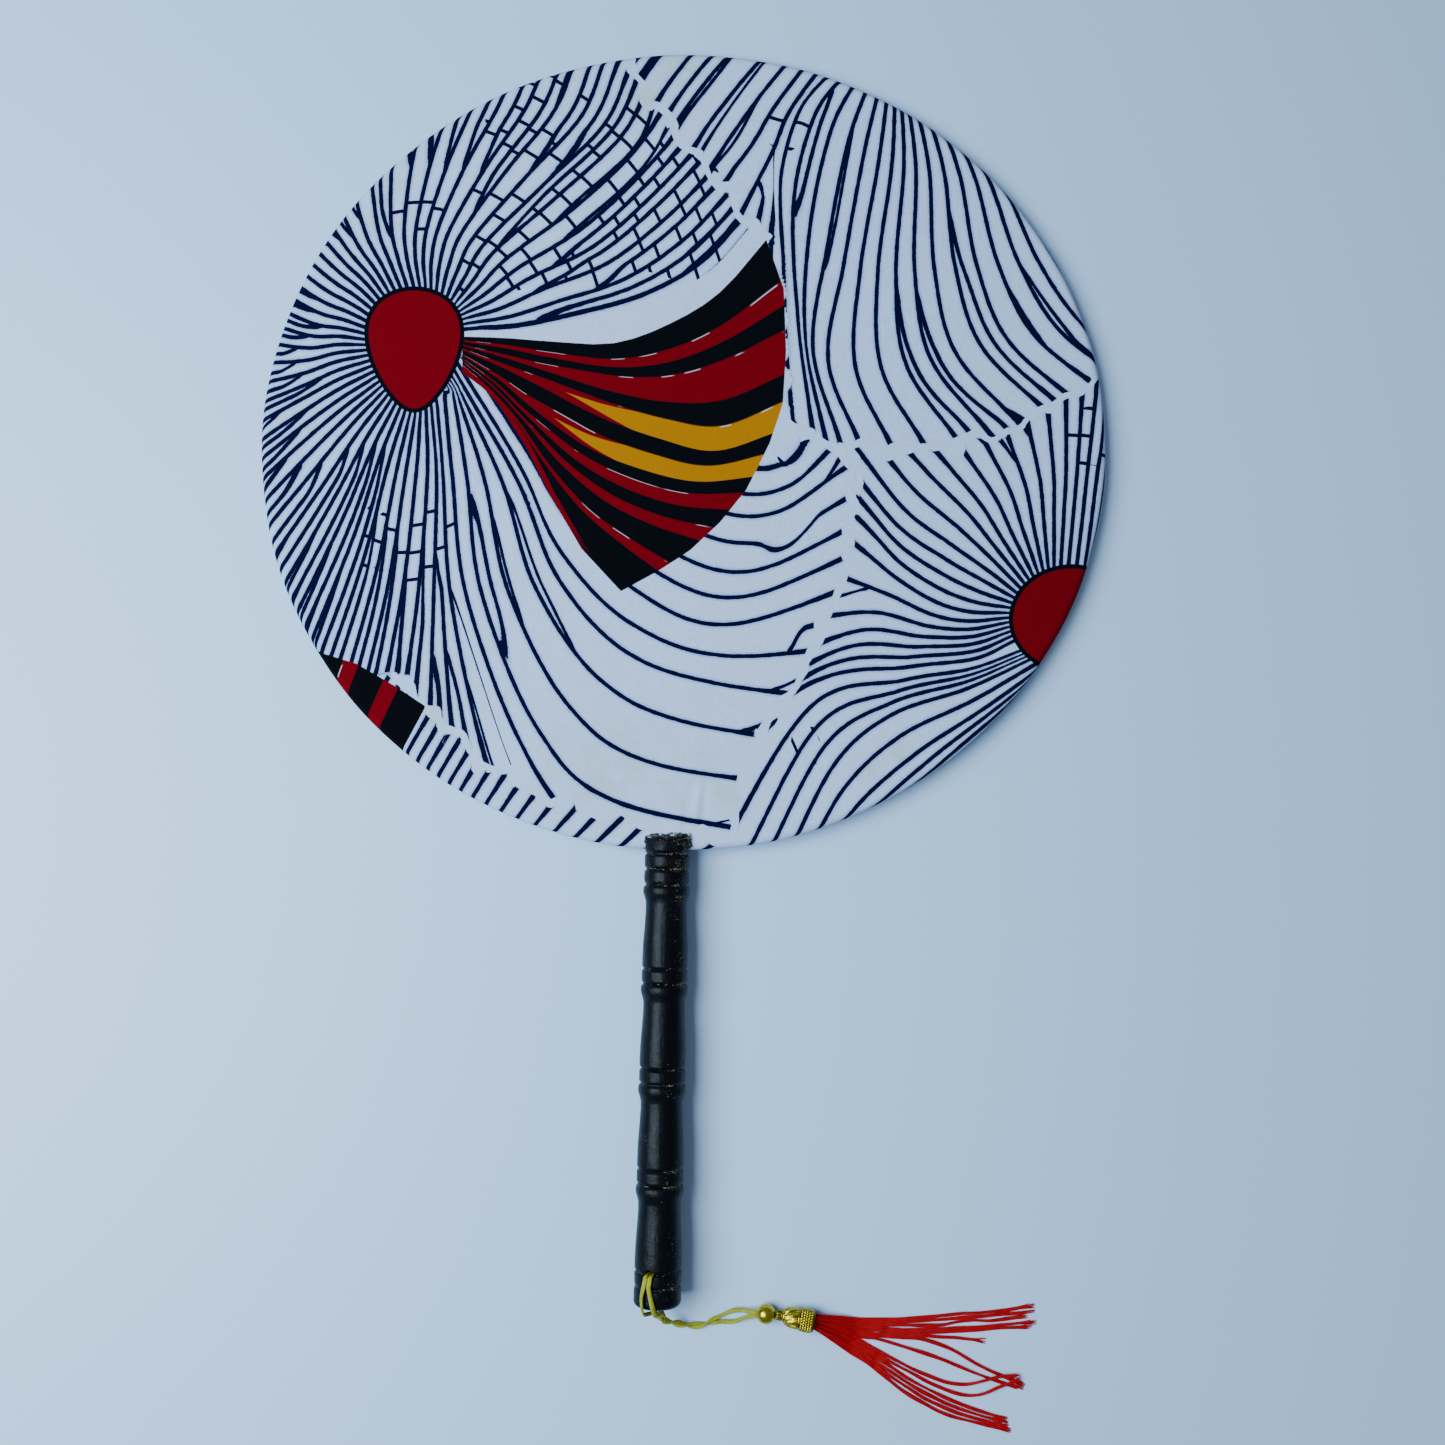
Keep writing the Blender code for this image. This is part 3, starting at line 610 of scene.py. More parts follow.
def store_print(obj, spots, cloth):
    """Keeps on each point of the mesh what the print's material reads.

    Spots are places in the print, and cloth is the flat cloth's own coordinates, which the weave follows.
    """
    outer = [(BEYOND, MIDDLE_SEAM[-1][1]), (BEYOND, BEYOND), (UPPER_SEAM[-1][0], BEYOND)]
    top_field = UPPER_SEAM[::-1] + HORN_END[:3] + MIDDLE_SEAM + outer
    meeting = [point for point in MIDDLE_SEAM if point[0] > LOWER_SEAM[0][0]]
    right_field = meeting[::-1] + LOWER_SEAM + [(BEYOND, -BEYOND), (BEYOND, MIDDLE_SEAM[-1][1])]
    rim_field = RIM_SEAM + [(14, -BEYOND), (-130, -BEYOND), (-130, -70)]
    flat = np.column_stack([spots, np.zeros(len(spots))])
    waves = np.column_stack([ripple(flat, SEAM_WAVE, seed) for seed in (71, 72)])
    bent = spots + SEAM_BEND * waves
    families = [
        (SPOT_GUIDES, SPOT_NUMBERS, 1.0, np.ones(len(spots), bool)),
        (TOP_GUIDES, TOP_NUMBERS, 1.35, to_outline(top_field, bent) < 0),
        (RIGHT_GUIDES, RIGHT_NUMBERS, 1.25, to_outline(right_field, bent) < 0),
        (RIM_GUIDES, RIM_NUMBERS, 1.6, to_outline(rim_field, bent) < 0),
    ]
    number, spacing, along, openness = np.zeros((4, len(spots)))
    room = np.full(len(spots), np.inf)
    for family, (guides, numbers, open_share, here) in enumerate(families):
        if here.any():
            number[here], spacing[here], along[here] = line_family(guides, numbers, spots[here])
            number[here] += FAMILY_STEP * family
            openness[here] = open_share
    open_side = number < 0.6
    room = np.where(open_side, (number + 0.45) * spacing + 1.5, room)
    last = SPOT_NUMBERS[-1]
    far_side = (number < FAMILY_STEP - 1) & (number > last)
    room = np.where(far_side, (last + 0.9 - number) * spacing, room)
    for seam in (UPPER_SEAM, MIDDLE_SEAM, LOWER_SEAM, RIM_SEAM):
        room = np.minimum(room, to_outline(seam, bent, closed=False))
    bricks = np.minimum(soft_patches(spots, BRICKS), MOST_BRICKS)
    stain = soft_patches(spots, STAINS)
    openness += soft_patches(spots, OPENNESS)
    horn = to_outline(horn_outline(), spots)
    patch_edge = [guide[0] for guide in PATCH_GUIDES] + PATCH_GUIDES[-1][1:]
    patch = to_outline(patch_edge + PATCH_GUIDES[0][:0:-1], spots)
    stripe, _, stripe_along = line_family(HORN_GUIDES, HORN_NUMBERS, spots)
    near_patch = patch < horn
    if near_patch.any():
        stripe[near_patch] = line_family(PATCH_GUIDES, PATCH_NUMBERS, spots[near_patch])[0]
        stripe_along[near_patch] = BEYOND
    store(obj, "print_lines", np.column_stack([number, spacing, along]))
    store(obj, "print_marks", np.column_stack([np.minimum(room, 50), bricks, stain]))
    store(obj, "print_shapes", np.column_stack([stripe, stripe_along, np.minimum(horn, patch)]))
    store(obj, "print_cloth", np.column_stack([cloth, spot_distance(spots)]))
    store(obj, "print_openness", openness)


def woven(finish, x, y):
    """Plain weave from the cloth's own coordinates: its height and its slubs, both 0 to 1."""
    pitch = 0.36
    warp = (x * (math.pi / pitch)).math("SINE")
    weft = (y * (math.pi / pitch)).math("SINE")
    threads = (warp * weft) * 0.5 + 0.5
    slubs = finish.noise(finish.vector(x * 0.25, y * 3.0), 1.0, 2.0)
    slubs = slubs + finish.noise(finish.vector(x * 3.0, y * 0.25), 1.0, 2.0)
    return threads, slubs * 0.5


def printed_cloth(name):
    """Cotton with a wax print: navy lines with a faint blue bleed, coloured shapes and yellowed patches."""
    cloth = Finish(name, (0.8, 0.8, 0.8), 0.9, specular_ior_level=0.06)
    number, spacing, along = cloth.stored("print_lines")
    room, bricks, stain = cloth.stored("print_marks")
    stripe, stripe_along, shape = cloth.stored("print_shapes")
    x, y, spot = cloth.stored("print_cloth")
    threads, slubs = woven(cloth, x, y)
    wobble = cloth.noise(cloth.vector(x, y), 0.35, 2.0) - 0.5
    rough_edge = (cloth.noise(cloth.vector(x, y), 2.2, 3.0) - 0.5) * 0.3

    cell = number.floor()
    part = number.fraction()
    width = spacing / cloth.number("print_openness") + cloth.chance(cell, 3.3) * 2.8 - 1.4
    middle = width.smooth(*MIDDLE_FORK) * (cloth.chance(cell, 9.1) * 0.16 + 0.42)
    left = middle * width.smooth(*LEFT_FORK) * 0.5
    right = middle + middle.from_one() * width.smooth(*RIGHT_FORK) * 0.5
    distance = part.least((part - 1.0).size())
    distance = distance * spacing
    for branch, opening in ((left, left), (middle, middle), (right, right - middle)):
        closeness = (opening * spacing * -1.0 + 0.65).most(0.0)
        distance = distance.least((part - branch).size() * spacing + closeness)
    thick = (spacing * 0.31).least(0.66) + room.smooth(9.0, 1.5) * 0.2 + wobble * 0.35
    ink = (thick - distance + rough_edge).edge(0.16)
    bleed = (thick - distance + 0.45).edge(0.9) * 0.5
    line = (number * 4.0 + 0.5).floor()
    ends = (room - 0.95 - cloth.chance(line, 5.7) * 0.9 + rough_edge).edge(0.2)

    lane = cell * 4.0 + part.over(left) + part.over(middle) + part.over(right)
    places = along / BRICK_LENGTH + cloth.chance(lane, 21.5)
    tick = ((places.fraction() - 0.5).size() * -BRICK_LENGTH + 0.58 + rough_edge).edge(0.16)
    wanted = (bricks - 0.5 - cloth.chance(lane * 7.0 + places.floor(), 2.9) * 0.65).over(0.0)
    ink = ink.most(tick * wanted) * ends
    bleed = bleed.most(ink * 0.4) * ends

    period = stripe.floor()
    share = stripe.fraction()
    throat = stripe_along.smooth(42.0, 6.0)
    black_share = cloth.lookup(period, BLACK_SHARES)
    black_share = black_share + (black_share * -1.0 + 0.7) * throat
    red_border = (period - 6.5).over(0.0) * stripe_along.smooth(70.0, 55.0) * (shape + 1.5).edge(0.16)
    black = (black_share - share).edge(0.03) * red_border.from_one()
    inner = ((share - black_share) / black_share.from_one() - 0.5).size()
    yellow = cloth.lookup(period, YELLOW_STRIPES)
    yellow = yellow * ((stripe_along - 34.0) * 0.022 - inner).edge(0.03)
    sliver = ((share - black_share - 0.012).size() * -1.0 + 0.011).edge(0.01)
    sliver = sliver * cloth.noise(cloth.vector(x, y), 0.09, 1.0).smooth(0.56, 0.6)

    dirt = (stain * cloth.noise(cloth.vector(x, y), 0.12, 4.0).smooth(0.35, 0.7)).least(1.0)
    ground = cloth.mix(slubs.smooth(0.3, 0.75), *COTTON)
    ground = cloth.mix(dirt * 0.7, ground, YELLOWED)
    ground = cloth.mix(bleed, ground, BLUE_BLEED)
    ground = cloth.mix(ink, ground, NAVY)
    red = cloth.mix(slubs, *RED)
    gold = cloth.mix(slubs, *GOLD)
    stripes = cloth.mix(yellow, red, gold)
    stripes = cloth.mix(sliver * 0.75, stripes, UNPRINTED)
    stripes = cloth.mix(black, stripes, STRIPE_BLACK)
    colour = cloth.mix((-shape + rough_edge).edge(0.16), ground, stripes)
    colour = cloth.mix((-spot + rough_edge).edge(0.16), colour, SPOT_BLACK)
    colour = cloth.mix((-spot - 1.35 + rough_edge).edge(0.16), colour, red)
    cloth.set("Base Color", colour)
    cloth.relief(threads * 0.6 + slubs * 0.8, 0.00009)
    return cloth


# ----------------------------------------------------------------------------------------------------
# The blade's covers
# ----------------------------------------------------------------------------------------------------

RINGS = 134
EDGE_STEPS = 9
HEM_STEPS = 12

# The back's print is another place of the same cloth: mirrored, turned and shifted.
BACK_PRINT_TURN, BACK_PRINT_SHIFT = [[0.82, 0.57], [-0.57, 0.82]], [12, -18]


def rim_point(angles, inset):
    """Points of the blade's oval outline, moved inwards by the inset, in the fan's own frame."""
    along = np.column_stack([BLADE_HALF_WIDTH * np.cos(angles), BLADE_HALF_HEIGHT * np.sin(angles)])
    outward = np.column_stack([np.cos(angles) / BLADE_HALF_WIDTH, np.sin(angles) / BLADE_HALF_HEIGHT])
    outward *= (inset / np.linalg.norm(outward, axis=1))[:, None]
    cosine, sine = math.cos(BLADE_TURN), math.sin(BLADE_TURN)
    turned = (along - outward) @ np.array([[cosine, sine], [-sine, cosine]])
    return blade_centre + turned


def disc(rings, inset):
    """An evenly meshed disc inside the outline: ring k has 6 k points. Gives its points and triangles."""
    points = [blade_centre[None]]
    faces = []
    for k in range(1, rings + 1):
        angles = round_angles(6 * k)
        points.append(blade_centre + (rim_point(angles, inset) - blade_centre) * k / rings)
        start, below = 1 + 3 * k * (k - 1), 1 + 3 * (k - 1) * (k - 2)
        for side in range(6):
            for step in range(k):
                here = start + side * k + step
                after = start + (side * k + step + 1) % (6 * k)
                if k == 1:
                    faces.append((0, here, after))
                    continue
                inner = below + (side * (k - 1) + step) % (6 * (k - 1))
                faces.append((inner, here, after))
                if step < k - 1:
                    faces.append((inner, after, below + (side * (k - 1) + step + 1) % (6 * (k - 1))))
    return np.concatenate(points), faces


def creases(x, y):
    """How far the cloth stands proud near the handle, where it was pulled over the tongue and glued."""
    ridge_x = 8.3 + 0.09 * (y - 5)
    reach = smooth_step(y, 2, 7) * smooth_step(y, 21, 12)
    height = 0.42 * bump(x, ridge_x, 0.95) * reach
    height -= 0.22 * bump(x, ridge_x + 1.9, 1.0) * reach
    height -= 0.16 * bump(x, ridge_x - 2.6, 1.6) * smooth_step(y, 2, 6) * smooth_step(y, 24, 10)
    height += 0.2 * bump(x, 2.9 + 0.1 * y, 0.9) * smooth_step(y, 1, 4) * smooth_step(y, 11, 6)
    height -= 0.14 * bump(x, 4.6 + 0.1 * y, 0.9) * smooth_step(y, 1, 4) * smooth_step(y, 12, 6)
    height += 0.12 * bump(x, -5.5 - 0.2 * y, 1.1) * smooth_step(y, 1, 3) * smooth_step(y, 9, 4)
    height += 0.25 * bump(y, 1.2, 0.8) * smooth_step(np.abs(x), 8, 5)
    return height


def rim_wave(turns):
    """A slow wave round the rim, by the angle, which the edge and the hem's pleats follow."""
    return ripple(np.column_stack([np.cos(turns), np.sin(turns)]) * 60, 22, 5)


def pleats(turns):
    """The hem's narrow pleats at each angle, 0 to 1."""
    return np.sin(turns * 58 + 2 * rim_wave(turns)) ** 4


def build_front_cover():
    """The printed cloth over the front, rolled round the rim, with its hem on the back."""
    flat, faces = disc(RINGS, EDGE_RADIUS)
    columns = 6 * RINGS
    angles = round_angles(columns)
    wave, folds = rim_wave(angles), pleats(angles)
    rings, cloth = [flat], [flat]
    heights = [np.full(len(flat), EDGE_RADIUS)]
    for step in range(1, EDGE_STEPS + 1):
        turn = math.pi * step / EDGE_STEPS
        inset = EDGE_RADIUS * (1 - math.sin(turn))
        rings.append(rim_point(angles, inset - 0.12 * wave * math.sin(turn)))
        cloth.append(rim_point(angles, EDGE_RADIUS - EDGE_RADIUS * turn))
        heights.append(np.full(columns, EDGE_RADIUS * math.cos(turn)))
    for step in range(1, HEM_STEPS + 1):
        inset = EDGE_RADIUS + (HEM - EDGE_RADIUS) * step / HEM_STEPS
        rings.append(rim_point(angles, inset))
        cloth.append(rim_point(angles, 2 * EDGE_RADIUS - EDGE_RADIUS * math.pi - inset))
        heights.append(-EDGE_RADIUS - 0.16 * folds * smooth_step(step, 0, 4))
    first = len(flat) - columns
    rolled = grid_faces(EDGE_STEPS + HEM_STEPS + 1, columns, closed=True) + first
    plan = np.concatenate(rings)
    height = np.concatenate(heights)
    soft = 0.07 * ripple(flat, 45, 11) + 0.035 * ripple(flat, 14, 12)
    away = blade_centre - flat
    calm = smooth_step(np.hypot(away[:, 0] / BLADE_HALF_WIDTH, away[:, 1] / BLADE_HALF_HEIGHT), 0.985, 0.9)
    height[: len(flat)] += soft * calm + creases(flat[:, 0], flat[:, 1])
    points = to_world(np.column_stack([plan, height]))
    cover = mesh_object("front_cloth", points, [*faces, *rolled.tolist()])
    laid = np.concatenate(cloth)
    store_print(cover, print_places(laid - blade_centre), laid)
    stand_in(cover, printed_cloth("printed_cotton"), "fan", "front_cover")


def build_back_cover():
    """The cloth glued over the back. The front cover's hem shows through it as a low step and faint tucks."""
    rings = 118
    flat, faces = disc(rings, BACK_COVER_INSET)
    columns = 6 * rings
    ring = np.concatenate([[0], np.repeat(np.arange(1, rings + 1), 6 * np.arange(1, rings + 1))])
    inset = BACK_COVER_INSET + (1 - ring / rings) * (BLADE_HALF_HEIGHT - BACK_COVER_INSET)
    over_hem = smooth_step(inset, HEM + 2.2, HEM - 0.6)
    away = flat - blade_centre
    turn = np.arctan2(away[:, 1] / BLADE_HALF_HEIGHT, away[:, 0] / BLADE_HALF_WIDTH)
    tucks = pleats(turn) * over_hem * smooth_step(inset, BACK_COVER_INSET, HEM)
    soft = 0.05 * ripple(flat, 40, 21) + 0.03 * ripple(flat, 13, 22)
    lowest = 0.03
    height = -EDGE_RADIUS - (BACK_FACE - EDGE_RADIUS - lowest) * over_hem - 0.03 * tucks
    height += (soft - 0.05) * (1 - over_hem)
    edge = np.column_stack([flat[-columns:], np.full(columns, -EDGE_RADIUS - 0.12)])
    points = np.concatenate([np.column_stack([flat, height]), edge])
    wall = grid_faces(2, columns, closed=True) + (len(flat) - columns)
    turned_over = [face[::-1] for face in faces] + wall[:, ::-1].tolist()
    cover = mesh_object("back_cloth", to_world(points), turned_over, 50)
    laid = np.concatenate([flat, flat[-columns:]])
    mirrored = (laid - blade_centre) * np.array([-1, 1])
    store_print(cover, mirrored @ np.array(BACK_PRINT_TURN) + BACK_PRINT_SHIFT, laid)
    stand_in(cover, printed_cloth("printed_cotton_back"), "fan", "back_cover")


# ----------------------------------------------------------------------------------------------------
# The handle and its glue
# ----------------------------------------------------------------------------------------------------

BANDS, BAND_LENGTH = 3, 4.6
SEGMENTS, RING_LENGTH = 4, 4.3
BUTT_LENGTH = 6.2
GROOVE_HALF_WIDTH, GROOVE_DEPTH = 0.55, 0.75
SLOT_BACK, SLOT_FRONT = -BACK_FACE - FIT_GAP, EDGE_RADIUS + FIT_GAP
MORTISE = (4.3, 22.3, 1.25)
HOLE_SIDES = 32
BUTT_OUTLINE = [(0.4, 0.1), (1.5, 0.25), (4.6, 0.25), (5.3, 0.0), (5.8, -0.6), (6.1, -1.3), (6.2, -2.2)]

# A segment's outline as (distance from the ring above it, change of radius).
SEGMENT_OUTLINE = [(0.5, 0.05), (1.6, 0.25), (2.6, 0.17), (3.8, -0.25), (5.2, -0.62), (7.5, -0.66)]
SEGMENT_OUTLINE += [(12.0, -0.45), (17.5, -0.1), (22.0, 0.02), (24.0, 0.0)]


def handle_outline():
    """The turned outline as distances from the top end and radii, and the places of its grooves."""
    outline, grooves = [(0, BAND_RADIUS - 0.6), (0.35, BAND_RADIUS - 0.1)], []
    at = 0.0
    for band in range(BANDS):
        crown = 0.12 if band == 0 else 0.0
        for share, change in ((0.12, -0.1), (0.3, 0.02), (0.7, 0.0), (0.88, -0.12)):
            outline.append((at + share * BAND_LENGTH, BAND_RADIUS + change + crown))
        at += BAND_LENGTH
        grooves.append(at)
    pitch = (HANDLE_LENGTH - BUTT_LENGTH - at) / SEGMENTS
    for number in range(SEGMENTS):
        radius = BAND_RADIUS + 0.05 * number
        outline += [(at + along, radius + change) for along, change in SEGMENT_OUTLINE]
        ring = at + pitch - RING_LENGTH
        outline += [(ring + share * RING_LENGTH, radius + 0.04) for share in (0.15, 0.5, 0.85)]
        at += pitch
        grooves += [ring, at]
    outline += [(at + along, BAND_RADIUS + change) for along, change in BUTT_OUTLINE]
    return np.array(outline), np.array(grooves)


def turned_radius(distances):
    """The handle's radius at each distance from its top end, and how deep in a groove that is, 0 to 1."""
    outline, grooves = handle_outline()
    fine = np.arange(-2, HANDLE_LENGTH + 2, 0.05)
    radii = np.interp(fine, outline[:, 0], outline[:, 1])
    depth = np.zeros(len(fine))
    for groove in grooves:
        depth = np.maximum(depth, np.clip(1 - np.abs(fine - groove) / GROOVE_HALF_WIDTH, 0, 1))
    kernel = bump(np.arange(-12, 13), 0, 4.5)
    softened = np.convolve(radii - GROOVE_DEPTH * depth, kernel / kernel.sum(), "same")
    return np.interp(distances, fine, softened), np.interp(distances, fine, depth)


def carve(obj, cutters):
    """Cuts closed shapes out of an object and keeps the result as its mesh."""
    for cutter in cutters:
        modifier = obj.modifiers.new("cut", "BOOLEAN")
        modifier.operation, modifier.solver, modifier.object = "DIFFERENCE", "EXACT", cutter
    evaluated = obj.evaluated_get(bpy.context.evaluated_depsgraph_get())
    carved = bpy.data.meshes.new_from_object(evaluated)
    obj.modifiers.clear()
    old, obj.data = obj.data, carved
    bpy.data.meshes.remove(old)
    for cutter in cutters:
        bpy.data.meshes.remove(cutter.data)


def box_cutter(low, high):
    """A box between two corners, to cut with."""
    x, y, z = zip(low, high)
    points = [(x[i], y[j], z[k]) for i in (0, 1) for j in (0, 1) for k in (0, 1)]
    faces = [(0, 1, 3, 2), (4, 6, 7, 5), (0, 4, 5, 1), (2, 3, 7, 6), (0, 2, 6, 4), (1, 5, 7, 3)]
    return mesh_object("cutter", to_world(points), faces)


def hole_directions():
    """The cord hole's axis, from back to front, and the direction across it, in the fan's own frame."""
    cosine, sine = math.cos(HOLE_TURN), math.sin(HOLE_TURN)
    return np.array([-sine, 0, cosine]), np.array([cosine, 0, sine])


def build_handle():
    """The turned handle, with the slot for the blade, the mortise for the tongue and the cord hole."""
    step, columns = 0.4, 104
    distances = np.linspace(0, HANDLE_LENGTH, round(HANDLE_LENGTH / step) + 1)
    radii, _ = turned_radius(distances)
    radii[-1] = BAND_RADIUS - 2.4
    angles = round_angles(columns)
    down, turn = np.meshgrid(distances, angles, indexing="ij")
    down, turn = down.ravel(), turn.ravel()
    around = np.column_stack([down, BAND_RADIUS * np.cos(turn), BAND_RADIUS * np.sin(turn)])
    uneven = 0.035 * ripple(around * [0.12, 1, 1], 9, 31) + 0.02 * ripple(around, 5, 32)
    crust = smooth_step(around[:, 0], 5.0, 0.5) * 0.16 * np.abs(ripple(around, 2.6, 33))
    radius = np.repeat(radii, columns) + uneven + crust
    points = np.column_stack([radius * np.sin(turn), -down, radius * np.cos(turn)])
    handle = mesh_object("turned_handle", to_world(points), tube_faces(len(distances), columns))

    half_width, depth, half_height = MORTISE
    slot = box_cutter((-20, -SEAT_DEPTH - FIT_GAP, SLOT_BACK), (20, 5, SLOT_FRONT))
    mortise = box_cutter((-half_width, -depth, -half_height), (half_width, 6, half_height))
    axis, across = hole_directions()
    turns = np.linspace(0, math.tau, HOLE_SIDES + 1)[:-1]
    ring = [across * math.cos(a) + np.array([0, math.sin(a), 0]) for a in turns]
    ends = [[p * HOLE_RADIUS + axis * side * 12 + [0, -HOLE_FROM_TOP, 0] for p in ring] for side in (-1, 1)]
    hole = mesh_object("cutter", to_world(ends[0] + ends[1]), tube_faces(2, HOLE_SIDES))
    carve(handle, (slot, mortise, hole))

    mesh = handle.data
    mesh.shade_smooth()
    mesh.set_sharp_from_angle(angle=math.radians(50))
    local = fan_places(handle)
    store(handle, "fan_place", local)
    store(handle, "groove", turned_radius(-local[:, 1])[1])
    stand_in(handle, handle_paint(), "fan", "handle")


def handle_paint():
    """Gloss black paint over turned wood: brush streaks, specks of wood in the grooves and a rough collar."""
    coat = Finish("handle_paint", (0.004, 0.0045, 0.006), 0.3, specular_ior_level=0.12)
    x, y, z = coat.stored("fan_place")
    groove = coat.number("groove")
    streaks = coat.noise(coat.vector(x * 1.1, y * 0.07, z * 1.1), 1.0, 4.0)
    peel = coat.noise(coat.vector(x, y, z), 1.1, 3.0)
    chips = coat.noise(coat.vector(x, y * 1.6, z), 1.9, 3.0)
    patches = coat.noise(coat.vector(x, y, z), 0.16, 2.0)
    collar = (y + 4.2).smooth(0.0, 3.0)
    upper = (y + 15.0).smooth(0.0, 4.0)
    likely = groove * 0.16 + patches * 0.5 + collar * 0.06 + upper * 0.05 + x.smooth(-2.0, 5.0) * 0.05
    worn = (chips + likely - 1.04).edge(0.03)
    fleck = coat.noise(coat.vector(x, y, z), 3.3, 2.0)
    wood = coat.mix(fleck.smooth(0.35, 0.65), (0.13, 0.09, 0.04), (0.50, 0.42, 0.24))
    dark = coat.mix(patches, (0.0012, 0.0014, 0.002), (0.0024, 0.003, 0.005))
    coat.set("Base Color", coat.mix(worn, dark, wood))
    gloss = streaks * 0.16 + peel * 0.14 + collar * 0.1 + 0.2
    coat.set("Roughness", gloss + worn * 0.35)
    coat.relief(streaks * 0.5 + peel * 0.5 + collar * chips * 0.8 - worn * 0.35, 0.00022, 0.8)
    return coat


def lump(places, reaches, seed, roughness):
    """A rough blob: a ball stretched to its reaches, with noise on it. Gives points and faces."""
    rows, columns = 25, 36
    polar = np.repeat(np.linspace(0, math.pi, rows), columns)
    turn = np.tile(round_angles(columns), rows)
    ball = np.column_stack([np.cos(polar), np.sin(polar) * np.cos(turn), np.sin(polar) * np.sin(turn)])
    swell = 1 + roughness * ripple(ball * reaches, 1.5, seed, 9)
    swell[:columns], swell[-columns:] = 1, 1
    return ball * reaches * swell[:, None] + places, grid_faces(rows, columns, closed=True)


# The lumps of glue: place, reaches and roughness.
GLUE_LUMPS = {
    "front": [((-2.6, 0.55, 2.45), (3.6, 0.75, 0.5), 0.14), ((2.6, 0.75, 2.5), (3.9, 0.9, 0.62), 0.16)]
    + [((6.4, -0.4, 2.5), (0.75, 1.7, 0.8), 0.2), ((6.9, -1.9, 2.35), (0.55, 0.9, 0.5), 0.2)]
    + [((-6.2, -0.9, 2.35), (0.6, 1.3, 0.55), 0.2), ((0.3, 0.1, 2.9), (1.4, 0.6, 0.5), 0.2)],
    "back": [((-2.4, 0.5, -2.95), (3.4, 0.7, 0.45), 0.14), ((2.7, 0.6, -2.95), (3.2, 0.8, 0.5), 0.16)],
}


def build_glue():
    """Dried lumps of glue with paint on them, where the slot's cheeks meet the cloth."""
    for side, lumps in GLUE_LUMPS.items():
        points, faces, offset = [], [], 0
        for seed, (place, reach, roughness) in enumerate(lumps):
            more, these = lump(np.array(place), np.array(reach), 40 + seed, roughness)
            points.append(more)
            faces += (these + offset).tolist()
            offset += len(more)
        glue = mesh_object(f"glue_line_{side}", to_world(np.concatenate(points)), faces)
        merge_points(glue)
        store(glue, "fan_place", fan_places(glue))
        stand_in(glue, glue_finish(), "fan", f"glue_{side}")


def glue_finish():
    """Dried glue, pale and yellow, with black paint over most of it."""
    glue = Finish("painted_glue", (0.3, 0.3, 0.2), 0.35, specular_ior_level=0.5)
    x, y, z = glue.stored("fan_place")
    grain = glue.noise(glue.vector(x, y, z), 1.5, 4.0)
    fine = glue.noise(glue.vector(x, y, z), 4.5, 3.0)
    painted = (grain + y * -0.16 + x.size().smooth(6.9, 5.4) * 0.2 - 0.44).edge(0.06)
    yellow = glue.mix(fine.smooth(0.35, 0.65), (0.33, 0.33, 0.10), (0.62, 0.62, 0.42))
    pale = glue.mix(fine.smooth(0.3, 0.7), (0.42, 0.44, 0.40), (0.70, 0.72, 0.70))
    bare = glue.mix(x.smooth(4.5, 6.2), pale, yellow)
    glue.set("Base Color", glue.mix(painted, bare, (0.006, 0.006, 0.008)))
    glue.set("Roughness", fine * 0.3 + 0.2)
    glue.relief(fine * 0.5 + grain * 0.5, 0.0002)
    return glue


# ----------------------------------------------------------------------------------------------------
# The hitch and the cord
# ----------------------------------------------------------------------------------------------------

# Each strand's own points, in the fan's own frame: behind the handle from the knot to the hole, in the hole
# as (distance out of the axis, y), and from the hole's front over the butt's end to the knot.
STRAND_BEHIND = {
    "hitch_strand_left": [(0.6, -137.7, -2.7), (1.1, -137.5, -4.4), (1.7, -136.8, -6.3), (2.1, -134.0, -7.6)],
    "hitch_strand_right": [(2.2, -137.7, -2.6), (2.7, -137.5, -4.2), (3.2, -136.8, -5.8), (3.5, -134, -7.1)],
}
STRAND_IN_HOLE = [(-7.8, -127.2), (-6.9, -126.0), (-3.0, -125.7), (3.0, -125.7), (6.9, -126.0), (7.8, -127.2)]
STRAND_IN_FRONT = {
    "hitch_strand_left": [(-3.75, -128.6, 6.95), (-4.3, -131.5, 6.6), (-4.2, -134.2, 6.65)]
    + [(-3.7, -136.7, 5.4), (-2.6, -137.4, 3.2), (-1.3, -137.6, 1.4), (-0.1, -137.7, 0.15)],
    "hitch_strand_right": [(-2.3, -128.9, 7.55), (-1.7, -131.5, 7.75), (-1.0, -134.2, 7.85)]
    + [(-0.3, -136.7, 6.5), (0.5, -137.5, 4.2), (1.1, -137.8, 2.2), (1.35, -137.9, 0.6)],
}
STRAND_SPACING = 0.72
STRAND_HALF_THICKNESS = 0.42
KNOT_CENTRE = (1.2, -139.2, -1.2)

# The cord's own points from the knot to the tassel's head, where it lies.
CORD_ROUTE = [
    (-0.4, -193.6, 6.6),
    (1.6, -194.6, 4.6),
    (4.6, -196.0, 2.5),
    (7.7, -196.8, 1.5),
    (10.6, -196.7, 1.3),
    (15.0, -195.2, 1.3),
    (19.0, -194.0, 1.5),
    (23.0, -192.9, 2.3),
    (26.4, -192.5, 2.9),
    (29.7, -192.5, 2.95),
    (33.0, -192.6, 2.95),
    (35.4, -193.0, 3.1),
    (37.7, -193.3, 3.3),
]
FIBRE_SHIFT = 37.0


